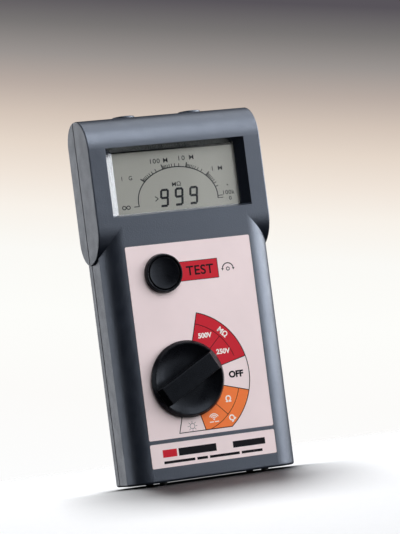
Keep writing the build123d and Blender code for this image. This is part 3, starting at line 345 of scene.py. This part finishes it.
# ---------------------------------------------------------------- flat shapes, as (x, z) outlines in mm
def arc_points(centre, radius, start, end):
    """Points along an arc, in degrees from +X towards +Z."""
    steps = max(2, math.ceil(abs(end - start) / ARC_STEP))
    angles = [math.radians(start + (end - start) * i / steps) for i in range(steps + 1)]
    return [(centre[0] + radius * math.cos(a), centre[1] + radius * math.sin(a)) for a in angles]


def sector(centre, inner, outer, start, end):
    return arc_points(centre, outer, start, end) + arc_points(centre, inner, end, start)


def arc_line(centre, radius, width, start, end):
    return sector(centre, radius - width / 2, radius + width / 2, start, end)


def disc(centre, radius):
    return arc_points(centre, radius, 0, 360)[:-1]


def line(start, end, width):
    """Straight stroke with square ends."""
    along = Vector((end[0] - start[0], end[1] - start[1])).normalized() * width / 2
    side = Vector((-along.y, along.x))
    a, b = Vector(start) - along, Vector(end) + along
    return [tuple(point) for point in (a - side, b - side, b + side, a + side)]


def rectangle(left, right, low, high):
    return [(left, low), (right, low), (right, high), (left, high)]


def polar(centre, radius, angle):
    a = math.radians(angle)
    return centre[0] + radius * math.cos(a), centre[1] + radius * math.sin(a)


def cut_below(outline, low):
    """The part of an outline that lies above a level line."""
    kept = []
    for (x0, z0), (x1, z1) in zip(outline, outline[1:] + outline[:1]):
        if z0 >= low:
            kept.append((x0, z0))
        if (z0 >= low) != (z1 >= low):
            kept.append((x0 + (x1 - x0) * (low - z0) / (z1 - z0), low))
    return kept


# ---------------------------------------------------------------- pieces
def finish_piece(mesh, name, material, body):
    mesh.materials.clear()
    mesh.materials.append(material)
    piece = bpy.data.objects.new(name, mesh)
    bpy.context.scene.collection.objects.link(piece)
    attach(piece, body)
    return piece


def print_shapes(name, outlines, face, material, body="case", backwards=False):
    """Ink on a flat face at depth face: one thin prism for each outline."""
    bm = bmesh.new()
    proud = INK_THICKNESS if backwards else -INK_THICKNESS
    for outline in outlines:
        rings = [[bm.verts.new((x * MM, y * MM, z * MM)) for x, z in outline] for y in (face + proud, face)]
        bm.faces.new(rings[0])
        bm.faces.new(rings[1][::-1])
        for i in range(len(outline)):
            bm.faces.new((rings[0][i], rings[1][i], rings[1][i - 1], rings[0][i - 1]))
    bmesh.ops.recalc_face_normals(bm, faces=bm.faces)
    mesh = bpy.data.meshes.new(name)
    bm.to_mesh(mesh)
    bm.free()
    return finish_piece(mesh, name, material, body)


CAPITAL_SHARE = 0.69


def print_text(name, text, height, centre, face, material, angle=0.0, stretch=1.0,
               weight=0.0, spacing=1.0):
    """Lettering on a face that looks forwards.

    height is that of a capital, and centre the middle of the ink.
    """
    curve = bpy.data.curves.new(name, "FONT")
    curve.body = text
    curve.size = height / CAPITAL_SHARE
    curve.offset = weight
    curve.space_character = spacing
    curve.extrude = INK_THICKNESS / 2
    source = bpy.data.objects.new(name + "_curve", curve)
    bpy.context.scene.collection.objects.link(source)
    evaluated = source.evaluated_get(bpy.context.evaluated_depsgraph_get())
    mesh = bpy.data.meshes.new_from_object(evaluated)
    bpy.data.objects.remove(source)
    bpy.data.curves.remove(curve)
    corners = [Vector(map(pick, zip(*(v.co for v in mesh.vertices)))) for pick in (min, max)]
    middle = (corners[0] + corners[1]) / 2
    place = Matrix.Translation(Vector((centre[0], face - INK_THICKNESS / 2, centre[1])) * MM)
    turn = Matrix.Rotation(math.radians(90), 4, "X") @ Matrix.Rotation(math.radians(angle), 4, "Z")
    size = Matrix.Diagonal((stretch * MM, MM, MM, 1.0))
    mesh.transform(place @ turn @ size @ Matrix.Translation(-middle))
    return finish_piece(mesh, name, material, "case")


# ---------------------------------------------------------------- the dial round the knob
LABEL_FACE = LABEL_LOW.y
HIDDEN_RADIUS = KNOB_RADIUS - 1.5
edges = [FIRST_RANGE + RANGE_STEP / 2 - RANGE_STEP * i for i in range(7)]
red_end, off_end, orange_end, lamp_end = edges[2], edges[3], edges[5], edges[6]
outer_end = -math.degrees(math.asin((KNOB[1] - DIAL_LOW) / OUTER_RADIUS))
middle_end = -math.degrees(math.asin((KNOB[1] - DIAL_LOW) / MIDDLE_RADIUS))
LINE_FACE = LABEL_FACE - INK_THICKNESS

print_shapes("dial_red", [sector(KNOB, HIDDEN_RADIUS, OUTER_RADIUS, edges[0], red_end)], LABEL_FACE, RED_INK)
orange = cut_below(sector(KNOB, HIDDEN_RADIUS, OUTER_RADIUS, off_end, orange_end), DIAL_LOW)
print_shapes("dial_orange", [orange], LABEL_FACE, ORANGE_INK)


def level_crossing(angle):
    """Where a line from the knob's centre meets the dial's lower edge."""
    reach = (DIAL_LOW - KNOB[1]) / math.sin(math.radians(angle))
    return polar(KNOB, reach, angle)


outer_lines = [
    line(polar(KNOB, HIDDEN_RADIUS, edges[0]), polar(KNOB, OUTER_RADIUS, edges[0]), OUTLINE),
    line(polar(KNOB, HIDDEN_RADIUS, red_end), polar(KNOB, OUTER_RADIUS, red_end), OUTLINE),
    line(polar(KNOB, HIDDEN_RADIUS, off_end), polar(KNOB, OUTER_RADIUS, off_end), OUTLINE),
    line(polar(KNOB, HIDDEN_RADIUS, orange_end), level_crossing(orange_end), OUTLINE),
    line(polar(KNOB, HIDDEN_RADIUS, lamp_end), level_crossing(lamp_end), OUTLINE),
    line(level_crossing(lamp_end), polar(KNOB, OUTER_RADIUS, outer_end), OUTLINE),
    arc_line(KNOB, OUTER_RADIUS, OUTLINE, edges[0], outer_end),
]
print_shapes("dial_outline", outer_lines, LINE_FACE, BLACK_INK)

ARC_SHORTFALL = 4.0
inner_lines = [
    arc_line(KNOB, MIDDLE_RADIUS, FINE_LINE, edges[0], red_end + ARC_SHORTFALL),
    line(polar(KNOB, HIDDEN_RADIUS, edges[1]), polar(KNOB, MIDDLE_RADIUS, edges[1]), FINE_LINE),
    arc_line(KNOB, MIDDLE_RADIUS, FINE_LINE, off_end, middle_end),
    line(polar(KNOB, HIDDEN_RADIUS, edges[4]), polar(KNOB, MIDDLE_RADIUS, edges[4]), FINE_LINE),
]
print_shapes("dial_dividers", inner_lines, LINE_FACE, BLACK_INK)

VOLTS_RADIUS = 25.4
OFF_RADIUS = 27.9
SYMBOL_RADIUS = 25.3
LAMP_RADIUS = 25.0
BAND_RADIUS = 32.4
VOLTS_HEIGHT = 2.5
OHM_HEIGHT = 3.1
BOLD = 0.14
range_angles = [FIRST_RANGE - RANGE_STEP * i for i in range(6)]
for name, text, angle in (("range_500", "500V", range_angles[0]), ("range_250", "250V", range_angles[1])):
    print_text(name, text, VOLTS_HEIGHT, polar(KNOB, VOLTS_RADIUS, angle), LINE_FACE, WHITE_INK, weight=BOLD)
print_text("range_off", "OFF", 3.2, polar(KNOB, OFF_RADIUS, range_angles[2]), LABEL_FACE, BLACK_INK,
           weight=0.22)
print_text("range_ohm", "Ω", OHM_HEIGHT, polar(KNOB, SYMBOL_RADIUS, range_angles[3]), LINE_FACE, WHITE_INK,
           weight=BOLD)
print_text("band_megohm", "MΩ", 2.8, polar(KNOB, BAND_RADIUS, edges[1]), LINE_FACE, WHITE_INK,
           angle=edges[1] - 90, weight=BOLD)
print_text("band_ohm", "Ω", OHM_HEIGHT, polar(KNOB, BAND_RADIUS, edges[4]), LINE_FACE, WHITE_INK,
           angle=edges[4] + 90, weight=BOLD)

# sounder symbol: three arcs over a dot, with a broken line of two dashes under it
sounder = polar(KNOB, SYMBOL_RADIUS, range_angles[4])
wave_centre = (sounder[0], sounder[1] - 0.6)
sounder_shapes = [arc_line(wave_centre, radius, 0.5, 25, 155) for radius in (0.9, 1.8, 2.7)]
sounder_shapes.append(disc((sounder[0], sounder[1] - 0.8), 0.45))
for side in (-1, 1):
    dash = sounder[0] + side * 1.45
    sounder_shapes.append(line((dash - 0.9, sounder[1] - 2.1), (dash + 0.9, sounder[1] - 2.1), 0.55))
print_shapes("range_sounder", sounder_shapes, LINE_FACE, WHITE_INK)

# lamp symbol: a ring with eight rays
lamp = polar(KNOB, LAMP_RADIUS, range_angles[5])
lamp_shapes = [arc_line(lamp, 1.35, 0.35, 0, 360)]
for angle in range(0, 360, 45):
    lamp_shapes.append(line(polar(lamp, 1.9, angle), polar(lamp, 2.6, angle), 0.3))
print_shapes("range_lamp", lamp_shapes, LABEL_FACE, GREY_INK)

# ---------------------------------------------------------------- the test button's flag and turn symbol
FLAG = {"left": BUTTON[0] + 8.0, "right": BUTTON[0] + 31.2, "low": BUTTON[1] - 5.2, "high": BUTTON[1] + 5.0}
flag_corners = rectangle(FLAG["left"], FLAG["right"], FLAG["low"], FLAG["high"])
print_shapes("test_flag", [flag_corners], LABEL_FACE, RED_INK)
flag_lines = [line(a, b, FINE_LINE) for a, b in zip(flag_corners, flag_corners[1:])]
print_shapes("test_flag_outline", flag_lines, LINE_FACE, BLACK_INK)
flag_middle = ((FLAG["left"] + FLAG["right"]) / 2 + 1.3, (FLAG["low"] + FLAG["high"]) / 2)
print_text("test_word", "TEST", 4.8, flag_middle, LINE_FACE, BLACK_INK, weight=0.13, spacing=1.05)

turn_centre = (BUTTON[0] + 36.9, BUTTON[1] - 1.2)
TURN_RADIUS = 3.1
turn_shapes = [arc_line(turn_centre, TURN_RADIUS, 0.55, 12, 168)]
turn_shapes.append(arc_line(turn_centre, 0.85, 0.45, 0, 360))
for side in (-1, 1):
    tip_x = turn_centre[0] + side * TURN_RADIUS
    tip_z = turn_centre[1] - 0.8
    turn_shapes.append([(tip_x - 0.75, tip_z + 1.3), (tip_x, tip_z), (tip_x + 0.75, tip_z + 1.3)])
print_shapes("turn_symbol", turn_shapes, LABEL_FACE, BLACK_INK)

# ---------------------------------------------------------------- name plate: plain bands in place of a name
PLATE_FACE = PLATE_LOW.y
plate_left, plate_low = PLATE_LOW.x, PLATE_LOW.z
accent = rectangle(plate_left + 6.6, plate_left + 14.6, plate_low + 5.3, plate_low + 9.3)
print_shapes("plate_accent", [accent], PLATE_FACE, RED_INK)
plate_bands = [
    rectangle(plate_left + 15.6, plate_left + 37.0, plate_low + 5.3, plate_low + 9.3),
    rectangle(plate_left + 46.5, plate_left + 65.0, plate_low + 5.6, plate_low + 9.0),
]
WORD_GAP = 1.2
word_start = plate_left + 6.8
for word_length in (17.5, 6.0, 17.0, 12.0):
    plate_bands.append(rectangle(word_start, word_start + word_length, plate_low + 1.9, plate_low + 3.3))
    word_start += word_length + WORD_GAP
print_shapes("plate_bands", plate_bands, PLATE_FACE, BLACK_INK)

# ---------------------------------------------------------------- what the display shows
LCD_FACE = LCD_LOW.y
SCALE_CENTRE = (DISPLAY[0] + 0.3, DISPLAY[1] - 10.2)
SCALE_WIDTH = 22.75
SCALE_HEIGHT = 17.25
SCALE_LINE = 0.55
DECADES = [141.8, 107.0, 73.5, 40.5, 5.0]
DECADE_TICK = 2.4
MINOR_TICK = 1.6


def scale_point(angle, out=0.0):
    """Point on the display's arched scale, or out millimetres outside it."""
    a = math.radians(angle)
    return (SCALE_CENTRE[0] + (SCALE_WIDTH + out) * math.cos(a),
            SCALE_CENTRE[1] + (SCALE_HEIGHT + out) * math.sin(a))


def band(outer_points, inner_points):
    return outer_points + inner_points[::-1]


scale_angles = [187 - 2 * i for i in range(97)]
scale_shapes = [band([scale_point(a, SCALE_LINE / 2) for a in scale_angles],
                     [scale_point(a, -SCALE_LINE / 2) for a in scale_angles])]
for start, end in zip(DECADES, DECADES[1:]):
    scale_shapes.append(line(scale_point(start), scale_point(start, DECADE_TICK), 0.6))
    for value in range(2, 10):
        angle = start + (end - start) * (1 - math.log10(value))
        scale_shapes.append(line(scale_point(angle), scale_point(angle, MINOR_TICK), 0.4))
left_foot = scale_point(scale_angles[0])
scale_shapes.append(line(left_foot, (left_foot[0] - 2.7, left_foot[1]), 0.45))
right_foot = scale_point(scale_angles[-1])
for rise in (0.0, 1.25):
    foot_level = right_foot[1] + rise
    scale_shapes.append(line((right_foot[0], foot_level), (right_foot[0] + 2.9, foot_level), 0.36))
scale_shapes.append(disc((DISPLAY[0] + 29.3, DISPLAY[1] - 5.2), 0.4))
print_shapes("scale_arc", scale_shapes, LCD_FACE, SEGMENT_INK)

DIGIT_WIDTH = 4.4
DIGIT_HEIGHT = 9.7
SEGMENT_WIDTH = 1.25
DIGIT_SLANT = 0.12
DIGIT_PITCH = 8.37
FIRST_DIGIT = (DISPLAY[0] - 7.5, DISPLAY[1] - 9.0)
NINE = ("top", "upper_left", "upper_right", "middle", "lower_right", "bottom")


def segment_outline(start, end):
    """Six-sided display segment between two corner points, with pointed ends."""
    a, b = Vector(start), Vector(end)
    along = (b - a).normalized()
    side = Vector((-along.y, along.x)) * SEGMENT_WIDTH / 2
    shoulder = along * SEGMENT_WIDTH / 6
    return [a, a + shoulder - side, b - shoulder - side, b, b - shoulder + side, a + shoulder + side]


def digit_outlines(centre, lit):
    half_w, half_h = DIGIT_WIDTH / 2 - SEGMENT_WIDTH / 4, DIGIT_HEIGHT / 2 - SEGMENT_WIDTH / 2
    corners = {(i, j): (i * half_w, j * half_h) for i in (-1, 1) for j in (-1, 0, 1)}
    runs = {
        "top": ((-1, 1), (1, 1)), "middle": ((-1, 0), (1, 0)), "bottom": ((-1, -1), (1, -1)),
        "upper_left": ((-1, 0), (-1, 1)), "upper_right": ((1, 0), (1, 1)),
        "lower_left": ((-1, -1), (-1, 0)), "lower_right": ((1, -1), (1, 0)),
    }
    outlines = []
    for name in lit:
        start, end = runs[name]
        points = segment_outline(corners[start], corners[end])
        outlines.append([(centre[0] + p.x + DIGIT_SLANT * p.y, centre[1] + p.y) for p in points])
    return outlines


digit_shapes = []
for place in range(3):
    digit_centre = (FIRST_DIGIT[0] + DIGIT_PITCH * place, FIRST_DIGIT[1])
    digit_shapes += digit_outlines(digit_centre, NINE)
print_shapes("display_digits", digit_shapes, LCD_FACE, SEGMENT_INK)

DISPLAY_WEIGHT = 0.03
# text, height, place from the middle of the display, stretch and spacing
DISPLAY_TEXTS = {
    "scale_1g": ("1 G", 2.2, (-27.3, 3.2), 0.95, 1.7),
    "scale_100m": ("100 M", 2.4, (-8.1, 11.0), 1.1, 1.15),
    "scale_10m": ("10 M", 2.4, (7.5, 11.4), 1.1, 1.3),
    "scale_1m": ("1 M", 2.3, (24.5, 4.2), 1.1, 1.3),
    "scale_100k": ("100k", 2.2, (29.6, -9.2), 1.05, 1.1),
    "scale_zero": ("0", 2.0, (30.0, -12.4), 1.1, 1.0),
    "scale_infinity": ("∞", 4.0, (-29.6, -12.3), 1.0, 1.0),
    "digits_unit": ("MΩ", 2.2, (0.2, -2.1), 1.1, 1.0),
    "digits_over": (">", 4.2, (-11.9, -9.1), 0.6, 1.0),
}
for text_name, (text, height, offset, stretch, spacing) in DISPLAY_TEXTS.items():
    centre = (DISPLAY[0] + offset[0], DISPLAY[1] + offset[1])
    print_text(text_name, text, height, centre, LCD_FACE, SEGMENT_INK, stretch=stretch,
               weight=0.0 if text == "∞" else DISPLAY_WEIGHT, spacing=spacing)

# painted shadow of the opening's top wall on the display: a black band, wider towards the right, along the top of
# the opening
OPENING_HIGH = WINDOW_HIGH.z - 1.5
top_shadow_band = [(WINDOW_LOW.x, OPENING_HIGH - 0.4), (WINDOW_HIGH.x, OPENING_HIGH - 1.1),
          (WINDOW_HIGH.x, OPENING_HIGH + 0.8), (WINDOW_LOW.x, OPENING_HIGH + 0.8)]
print_shapes("display_top_shadow", [top_shadow_band], LCD_FACE, BLACK_INK)

# ---------------------------------------------------------------- rear label: plain rating grid without words
REAR_FACE = REAR_LABEL_HIGH.y
GRID_MARGIN = 3
GRID_COLUMN = 18
GRID_ROWS = 5
rear_left, rear_right = REAR_LABEL_LOW.x + GRID_MARGIN, REAR_LABEL_HIGH.x - GRID_MARGIN
rear_low, rear_high = REAR_LABEL_LOW.z + GRID_MARGIN, REAR_LABEL_HIGH.z - GRID_MARGIN
row_height = (rear_high - rear_low) / GRID_ROWS
grid = [line((rear_left, rear_low + row_height * i), (rear_right, rear_low + row_height * i), FINE_LINE)
        for i in range(GRID_ROWS + 1)]
for x in (rear_left, rear_right, rear_left + GRID_COLUMN):
    grid.append(line((x, rear_low), (x, rear_high), FINE_LINE))
print_shapes("rear_grid", grid, REAR_FACE, BLACK_INK, backwards=True)

# ---------------------------------------------------------------- stage, light and camera
FLOOR_FRONT = CASE_LOW.y * MM
FLOOR_RADIUS = 0.62
FLOOR_FALL = 0.26
FLOOR_BEND = 0.012
FLOOR_RINGS = 72
FLOOR_SEGMENTS = 160
CONTACT_REACH = 0.03


def floor_height(depth):
    """Level under and behind the tester, then bending down into an even fall in front of it."""
    past = max(0.0, FLOOR_FRONT - depth)
    return -FLOOR_FALL * (math.hypot(past, FLOOR_BEND) - FLOOR_BEND)


def floor_mesh():
    """Round sheet in rings about the origin, closer together near the tester."""
    bm = bmesh.new()
    last_ring = None
    for i in range(1, FLOOR_RINGS + 1):
        radius = FLOOR_RADIUS * (i / FLOOR_RINGS) ** 1.3
        angles = [math.tau * j / FLOOR_SEGMENTS for j in range(FLOOR_SEGMENTS)]
        places = [(radius * math.cos(a), radius * math.sin(a)) for a in angles]
        ring = [bm.verts.new((x, y, floor_height(y))) for x, y in places]
        if last_ring:
            for j in range(FLOOR_SEGMENTS):
                bm.faces.new((last_ring[j - 1], ring[j - 1], ring[j], last_ring[j]))
        else:
            bm.faces.new(ring)
        last_ring = ring
    bmesh.ops.recalc_face_normals(bm, faces=bm.faces)
    mesh = bpy.data.meshes.new("studio_floor")
    bm.to_mesh(mesh)
    bm.free()
    mesh.shade_smooth()
    return mesh


def floor_material():
    """Matt paper that fades out towards its rim, with painted shade: ambient occlusion darkens its colour where it
    meets the tester.
    """
    material, tree, shader = new_material("studio_floor", specular=0.2)
    shader.inputs["Roughness"].default_value = 0.7
    paper = noise(tree, 3.0, 3.0)
    tint = blend_colors(tree, paper, (0.87, 0.87, 0.87, 1.0), (0.90, 0.90, 0.90, 1.0))
    # painted contact shade: the paper's colour goes black where ambient occlusion finds the tester close by
    occlusion = add_node(tree, "ShaderNodeAmbientOcclusion", {"Distance": CONTACT_REACH}, samples=16)
    openness = spread(tree, occlusion.outputs["AO"], 0.0, 1.0, start=0.5, end=0.9)
    tint = blend_colors(tree, openness, (0.0, 0.0, 0.0, 1.0), tint)
    tree.links.new(tint, shader.inputs["Base Color"])
    reach = add_node(tree, "ShaderNodeVectorMath", {0: position(tree)}, operation="LENGTH").outputs["Value"]
    solid = spread(tree, reach, 1.0, 0.0, start=0.45 * FLOOR_RADIUS, end=0.95 * FLOOR_RADIUS)
    tree.links.new(solid, shader.inputs["Alpha"])
    return material


def build_floor():
    """Pale sheet, which the tester doesn't reflect and which throws no light on it."""
    mesh = floor_mesh()
    mesh.materials.append(floor_material())
    floor = bpy.data.objects.new("studio_floor", mesh)
    bpy.context.scene.collection.objects.link(floor)
    floor.visible_diffuse = False
    floor.visible_glossy = False
    return floor


VIEW_AZIMUTH = math.radians(-21.43)
VIEW_ELEVATION = math.radians(-2.67)
VIEW_ROLL = math.radians(7.31)
VIEW_DISTANCE = 1.40006
VIEW_TARGET = Vector((0.00526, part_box("front_case")[0].y, 0.11183))
LENS = 177.85
SENSOR = 36.0


def build_camera():
    camera_data = bpy.data.cameras.new("camera")
    camera_data.lens = LENS
    camera_data.sensor_width = SENSOR
    camera = bpy.data.objects.new("camera", camera_data)
    bpy.context.scene.collection.objects.link(camera)
    bpy.context.scene.camera = camera
    back = Vector((math.sin(VIEW_AZIMUTH) * math.cos(VIEW_ELEVATION),
                   -math.cos(VIEW_AZIMUTH) * math.cos(VIEW_ELEVATION), math.sin(VIEW_ELEVATION)))
    right = Vector((math.cos(VIEW_AZIMUTH), math.sin(VIEW_AZIMUTH), 0.0))
    axes = Matrix((right, back.cross(right), back)).transposed().to_4x4()
    roll = Matrix.Rotation(-VIEW_ROLL, 4, "Z")
    camera.matrix_world = Matrix.Translation(VIEW_TARGET + back * VIEW_DISTANCE) @ axes @ roll
    return camera


def softbox(name, azimuth, elevation, distance, width, height, power, only=None, apart_from=None,
            color=(1.0, 1.0, 1.0)):
    """Area light aimed at the tester; azimuth 0 is in front, 90 on the right.

    It lights everything, or only one object, or everything apart from one object.
    """
    light = bpy.data.lights.new(name, "AREA")
    light.shape = "RECTANGLE"
    light.size = width
    light.size_y = height
    light.energy = power
    light.color = color
    lamp_object = bpy.data.objects.new(name, light)
    bpy.context.scene.collection.objects.link(lamp_object)
    a, e = math.radians(azimuth), math.radians(elevation)
    direction = Vector((math.sin(a) * math.cos(e), -math.cos(a) * math.cos(e), math.sin(e)))
    lamp_object.location = Vector((0.0, 0.0, 0.1)) + direction * distance
    lamp_object.rotation_mode = "QUATERNION"
    lamp_object.rotation_quaternion = direction.to_track_quat("Z", "Y")
    lamp_object.visible_camera = False
    if only or apart_from:
        receivers = bpy.data.collections.new(name + "_receivers")
        receivers.objects.link(only or apart_from)
        lamp_object.light_linking.receiver_collection = receivers
        if apart_from:
            receivers.collection_objects[0].light_linking.link_state = "EXCLUDE"
    return lamp_object


# height in the picture as a share, from the bottom, and the backdrop's colour there
BACKDROP_TILT = 2.6
ROOM_LIGHT = 0.005
BACKDROP = (
    (0.00, (253, 254, 255)), (0.25, (252, 251, 249)), (0.40, (253, 253, 250)), (0.52, (251, 250, 246)),
    (0.60, (248, 242, 234)), (0.66, (240, 229, 218)), (0.72, (229, 215, 202)), (0.775, (211, 196, 184)),
    (0.83, (184, 171, 163)), (0.887, (153, 147, 144)), (0.944, (120, 117, 116)), (1.00, (88, 84, 90)),
)


def from_srgb(value):
    share = value / 255
    return share / 12.92 if share < 0.04045 else ((share + 0.055) / 1.055) ** 2.4


def build_world(camera):
    """Backdrop seen by the camera: white low down, warm grey higher up; a dim room lights the part."""
    world = bpy.data.worlds.new("studio")
    bpy.context.scene.world = world
    world.use_nodes = True
    tree = world.node_tree
    direction = add_node(tree, "ShaderNodeTexCoord").outputs["Generated"]
    axes = camera.matrix_world.to_3x3()
    tilt = math.radians(BACKDROP_TILT)
    up = axes @ Vector((math.sin(tilt), math.cos(tilt), 0.0))
    height = add_node(tree, "ShaderNodeVectorMath", {0: direction, 1: up}, operation="DOT_PRODUCT")
    half_view = math.sin(math.atan(SENSOR / 2 / LENS))
    place = spread(tree, height.outputs["Value"], 0.0, 1.0, start=-half_view, end=half_view)
    ramp = add_node(tree, "ShaderNodeValToRGB", {"Fac": place})
    points = ramp.color_ramp.elements
    while len(points) < len(BACKDROP):
        points.new(0.5)
    for point, (share, color) in zip(points, BACKDROP):
        point.position = share
        point.color = tuple(from_srgb(value) for value in color) + (1.0,)
    seen = add_node(tree, "ShaderNodeBackground", {"Color": ramp.outputs["Color"], "Strength": 1.0})
    room = add_node(tree, "ShaderNodeBackground", {"Color": (1.0, 1.0, 1.0, 1.0), "Strength": ROOM_LIGHT})
    camera_ray = add_node(tree, "ShaderNodeLightPath").outputs["Is Camera Ray"]
    mixed = add_node(tree, "ShaderNodeMixShader", {0: camera_ray, 1: room.outputs[0], 2: seen.outputs[0]})
    tree.links.new(mixed.outputs[0], tree.nodes["World Output"].inputs["Surface"])


# azimuth, elevation, distance, width, height and power of the lights on the tester
TESTER_LIGHTS = {
    "light_behind_left": (-165, 8, 1.6, 0.75, 1.3, 4.9),
    "light_side_left": (-105, 8, 1.6, 0.75, 1.3, 4.2),
    "light_right_35": (35, 8, 1.6, 0.75, 1.3, 4.0),
    "light_right_55": (55, 8, 1.6, 0.75, 1.3, 9.4),
    "light_right_75": (75, 14, 1.6, 0.75, 0.9, 12.3),
    "light_right_100": (100, 14, 1.6, 0.75, 0.9, 9.2),
    "light_left_edge": (-82, 8, 1.6, 0.4, 1.3, 2.0),
    "light_front_high": (15, 45, 1.4, 0.9, 0.9, 9.2),
    "light_overhead": (180, 89, 1.4, 2.2, 2.2, 6.8),
    "light_right_high": (90, 55, 1.5, 1.5, 2.0, 12.0),
}
KEY_COLOR = (0.97, 0.98, 1.0)
FILL_COLOR = (0.80, 0.90, 1.0)

studio_floor = build_floor()
build_world(build_camera())
for light_name, placing in TESTER_LIGHTS.items():
    softbox(light_name, *placing, apart_from=studio_floor)
softbox("light_floor_key", 172, 78, 1.5, 0.5, 0.3, 34.0, only=studio_floor, color=KEY_COLOR)
softbox("light_floor_fill", 120, 50, 1.5, 0.8, 0.8, 1.5, only=studio_floor, color=FILL_COLOR)
bpy.context.scene.view_settings.view_transform = "Standard"
